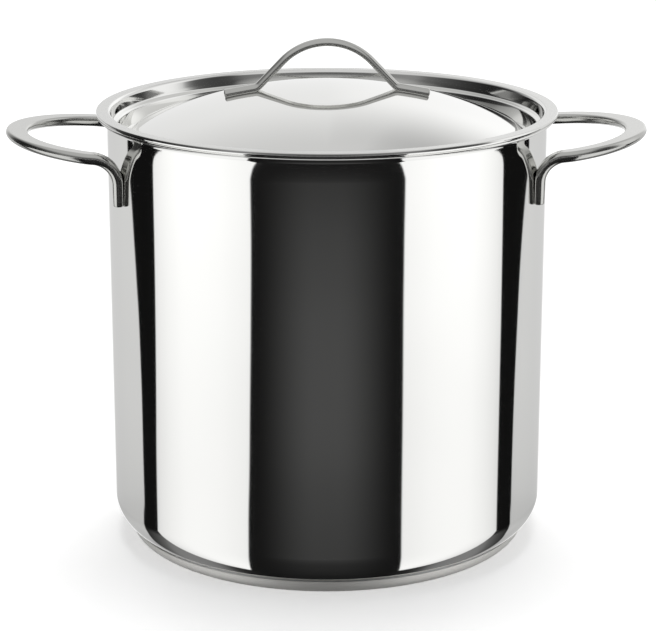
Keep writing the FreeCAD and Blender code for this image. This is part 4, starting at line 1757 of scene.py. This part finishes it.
@dataclass
class Studio:
    """The floor, the lamp, the room that polished steel mirrors, and the camera."""

    white: str = "#FFFFFF"
    paper: str = "#F4F4F4"
    paper_light: str = "#F7F7F7"
    fibres: float = 900.0
    floor_half: float = 5.0
    floor_glow: float = 0.38
    even_light: float = 0.5
    lamp_place: tuple[float, float, float] = (0.1, 1.1, 4.0)
    lamp_size: float = 2.4
    lamp_power: float = 92.0
    camera_distance: float = 1.62095
    camera_pitch: float = math.radians(15.8166)
    camera_turn: float = math.radians(1.4)
    aim_height: float = 152.6 * MM
    sensor: float = 36.0
    lens_share: float = 2318.906 / IMAGE_WIDTH
    shift: float = 1 / IMAGE_WIDTH
    clip: tuple[float, float] = (0.05, 50.0)

    def stage_floor(self) -> None:
        """Lay a pale floor that stays out of the steel's reflections and keeps the soft shadow."""
        half = self.floor_half
        mesh = bpy.data.meshes.new("floor")
        corners = [(-half, -half, 0), (half, -half, 0), (half, half, 0), (-half, half, 0)]
        mesh.from_pydata(corners, [], [(0, 1, 2, 3)])
        mesh.materials.append(self.floor_material())
        floor = link_object("floor", mesh)
        floor.visible_glossy = False

    def floor_material(self) -> bpy.types.Material:
        """White studio paper: matt, and as bright to the camera as the backdrop.

        Returns:
            The material.
        """
        made = bpy.data.materials.new("paper_studio_matt")
        made.use_nodes = True
        tree = made.node_tree
        tree.nodes.clear()
        seen = add_node(tree, "ShaderNodeLightPath").outputs["Is Camera Ray"]
        where = add_node(tree, "ShaderNodeTexCoord").outputs["Object"]
        fibre = add_node(
            tree, "ShaderNodeTexNoise", {"Vector": where, "Scale": self.fibres, "Detail": 2.0}
        ).outputs["Fac"]
        tone = add_node(
            tree, "ShaderNodeMix",
            {"Factor": fibre, "A": linear(self.paper), "B": linear(self.paper_light)},
            data_type="RGBA",
        )
        matt = add_node(tree, "ShaderNodeBsdfDiffuse", {"Color": tone.outputs["Result"]})
        none = add_node(tree, "ShaderNodeEmission", {"Strength": 0.0})
        glow = add_node(
            tree, "ShaderNodeEmission", {"Color": linear(self.white), "Strength": self.floor_glow}
        )
        lift = add_node(tree, "ShaderNodeMixShader", {0: seen, 1: none, 2: glow})
        both = add_node(tree, "ShaderNodeAddShader", {0: matt, 1: lift})
        add_node(tree, "ShaderNodeOutputMaterial", {"Surface": both})
        return made

    def light_room(self) -> None:
        """Make the world: white to the camera, even for matt things, and the room for steel."""
        world = bpy.data.worlds.new("studio")
        bpy.context.scene.world = world
        world.use_nodes = True
        world.cycles.sampling_method = "NONE"
        tree = world.node_tree
        tree.nodes.clear()
        path = add_node(tree, "ShaderNodeLightPath").outputs
        even, room, backdrop = (
            add_node(
                tree, "ShaderNodeBackground", {"Color": linear(self.white), "Strength": strength}
            )
            for strength in (self.even_light, Room(self.camera_turn).tone(tree), 1.0)
        )
        steel = add_node(tree, "ShaderNodeMixShader", {0: path["Is Glossy Ray"], 1: even, 2: room})
        seen = add_node(
            tree, "ShaderNodeMixShader", {0: path["Is Camera Ray"], 1: steel, 2: backdrop}
        )
        add_node(tree, "ShaderNodeOutputWorld", {"Surface": seen})

    def hang_lamp(self) -> None:
        """Hang a square soft lamp that points at the object and stays out of its reflections."""
        lamp = bpy.data.lights.new("overhead_lamp", "AREA")
        lamp.shape = "SQUARE"
        lamp.size = self.lamp_size
        lamp.energy = self.lamp_power
        hung = bpy.data.objects.new("overhead_lamp", lamp)
        hung.location = self.lamp_place
        aim = Vector((0, 0, self.aim_height)) - Vector(self.lamp_place)
        hung.rotation_euler = aim.to_track_quat("-Z", "Y").to_euler()
        hung.visible_glossy = False
        bpy.context.scene.collection.objects.link(hung)

    def place_camera(self) -> None:
        """Place the camera: a long lens from the front, looking a little down."""
        camera = bpy.data.cameras.new("camera")
        camera.sensor_width = self.sensor
        camera.lens = self.lens_share * self.sensor
        camera.shift_x = self.shift
        camera.clip_start, camera.clip_end = self.clip
        stand = bpy.data.objects.new("camera", camera)
        back = self.camera_distance * math.cos(self.camera_pitch)
        rise = self.camera_distance * math.sin(self.camera_pitch)
        turn = self.camera_turn
        place = Vector((-back * math.sin(turn), -back * math.cos(turn), rise))
        stand.location = place + Vector((0, 0, self.aim_height))
        stand.rotation_euler = (math.pi / 2 - self.camera_pitch, 0, -turn)
        bpy.context.scene.collection.objects.link(stand)
        bpy.context.scene.camera = stand

    def build(self) -> None:
        """Set up the whole studio."""
        self.stage_floor()
        self.light_room()
        self.hang_lamp()
        self.place_camera()
        bpy.context.scene.view_settings.view_transform = "Standard"
        LOG.info("studio: floor, room, lamp and camera set up")


def main() -> None:
    """Build the canner and its studio."""
    logging.basicConfig(level=logging.INFO, format="%(name)s %(message)s")
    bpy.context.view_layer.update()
    workshop = Workshop()
    finishes = Finishes()
    pot = Pot(workshop, finishes)
    pot.build()
    SideHandle(finishes, pot.radius).build()
    Lid(workshop, finishes).build()
    Rack(workshop, finishes).build()
    Studio().build()


if __name__ == "__main__":
    main()
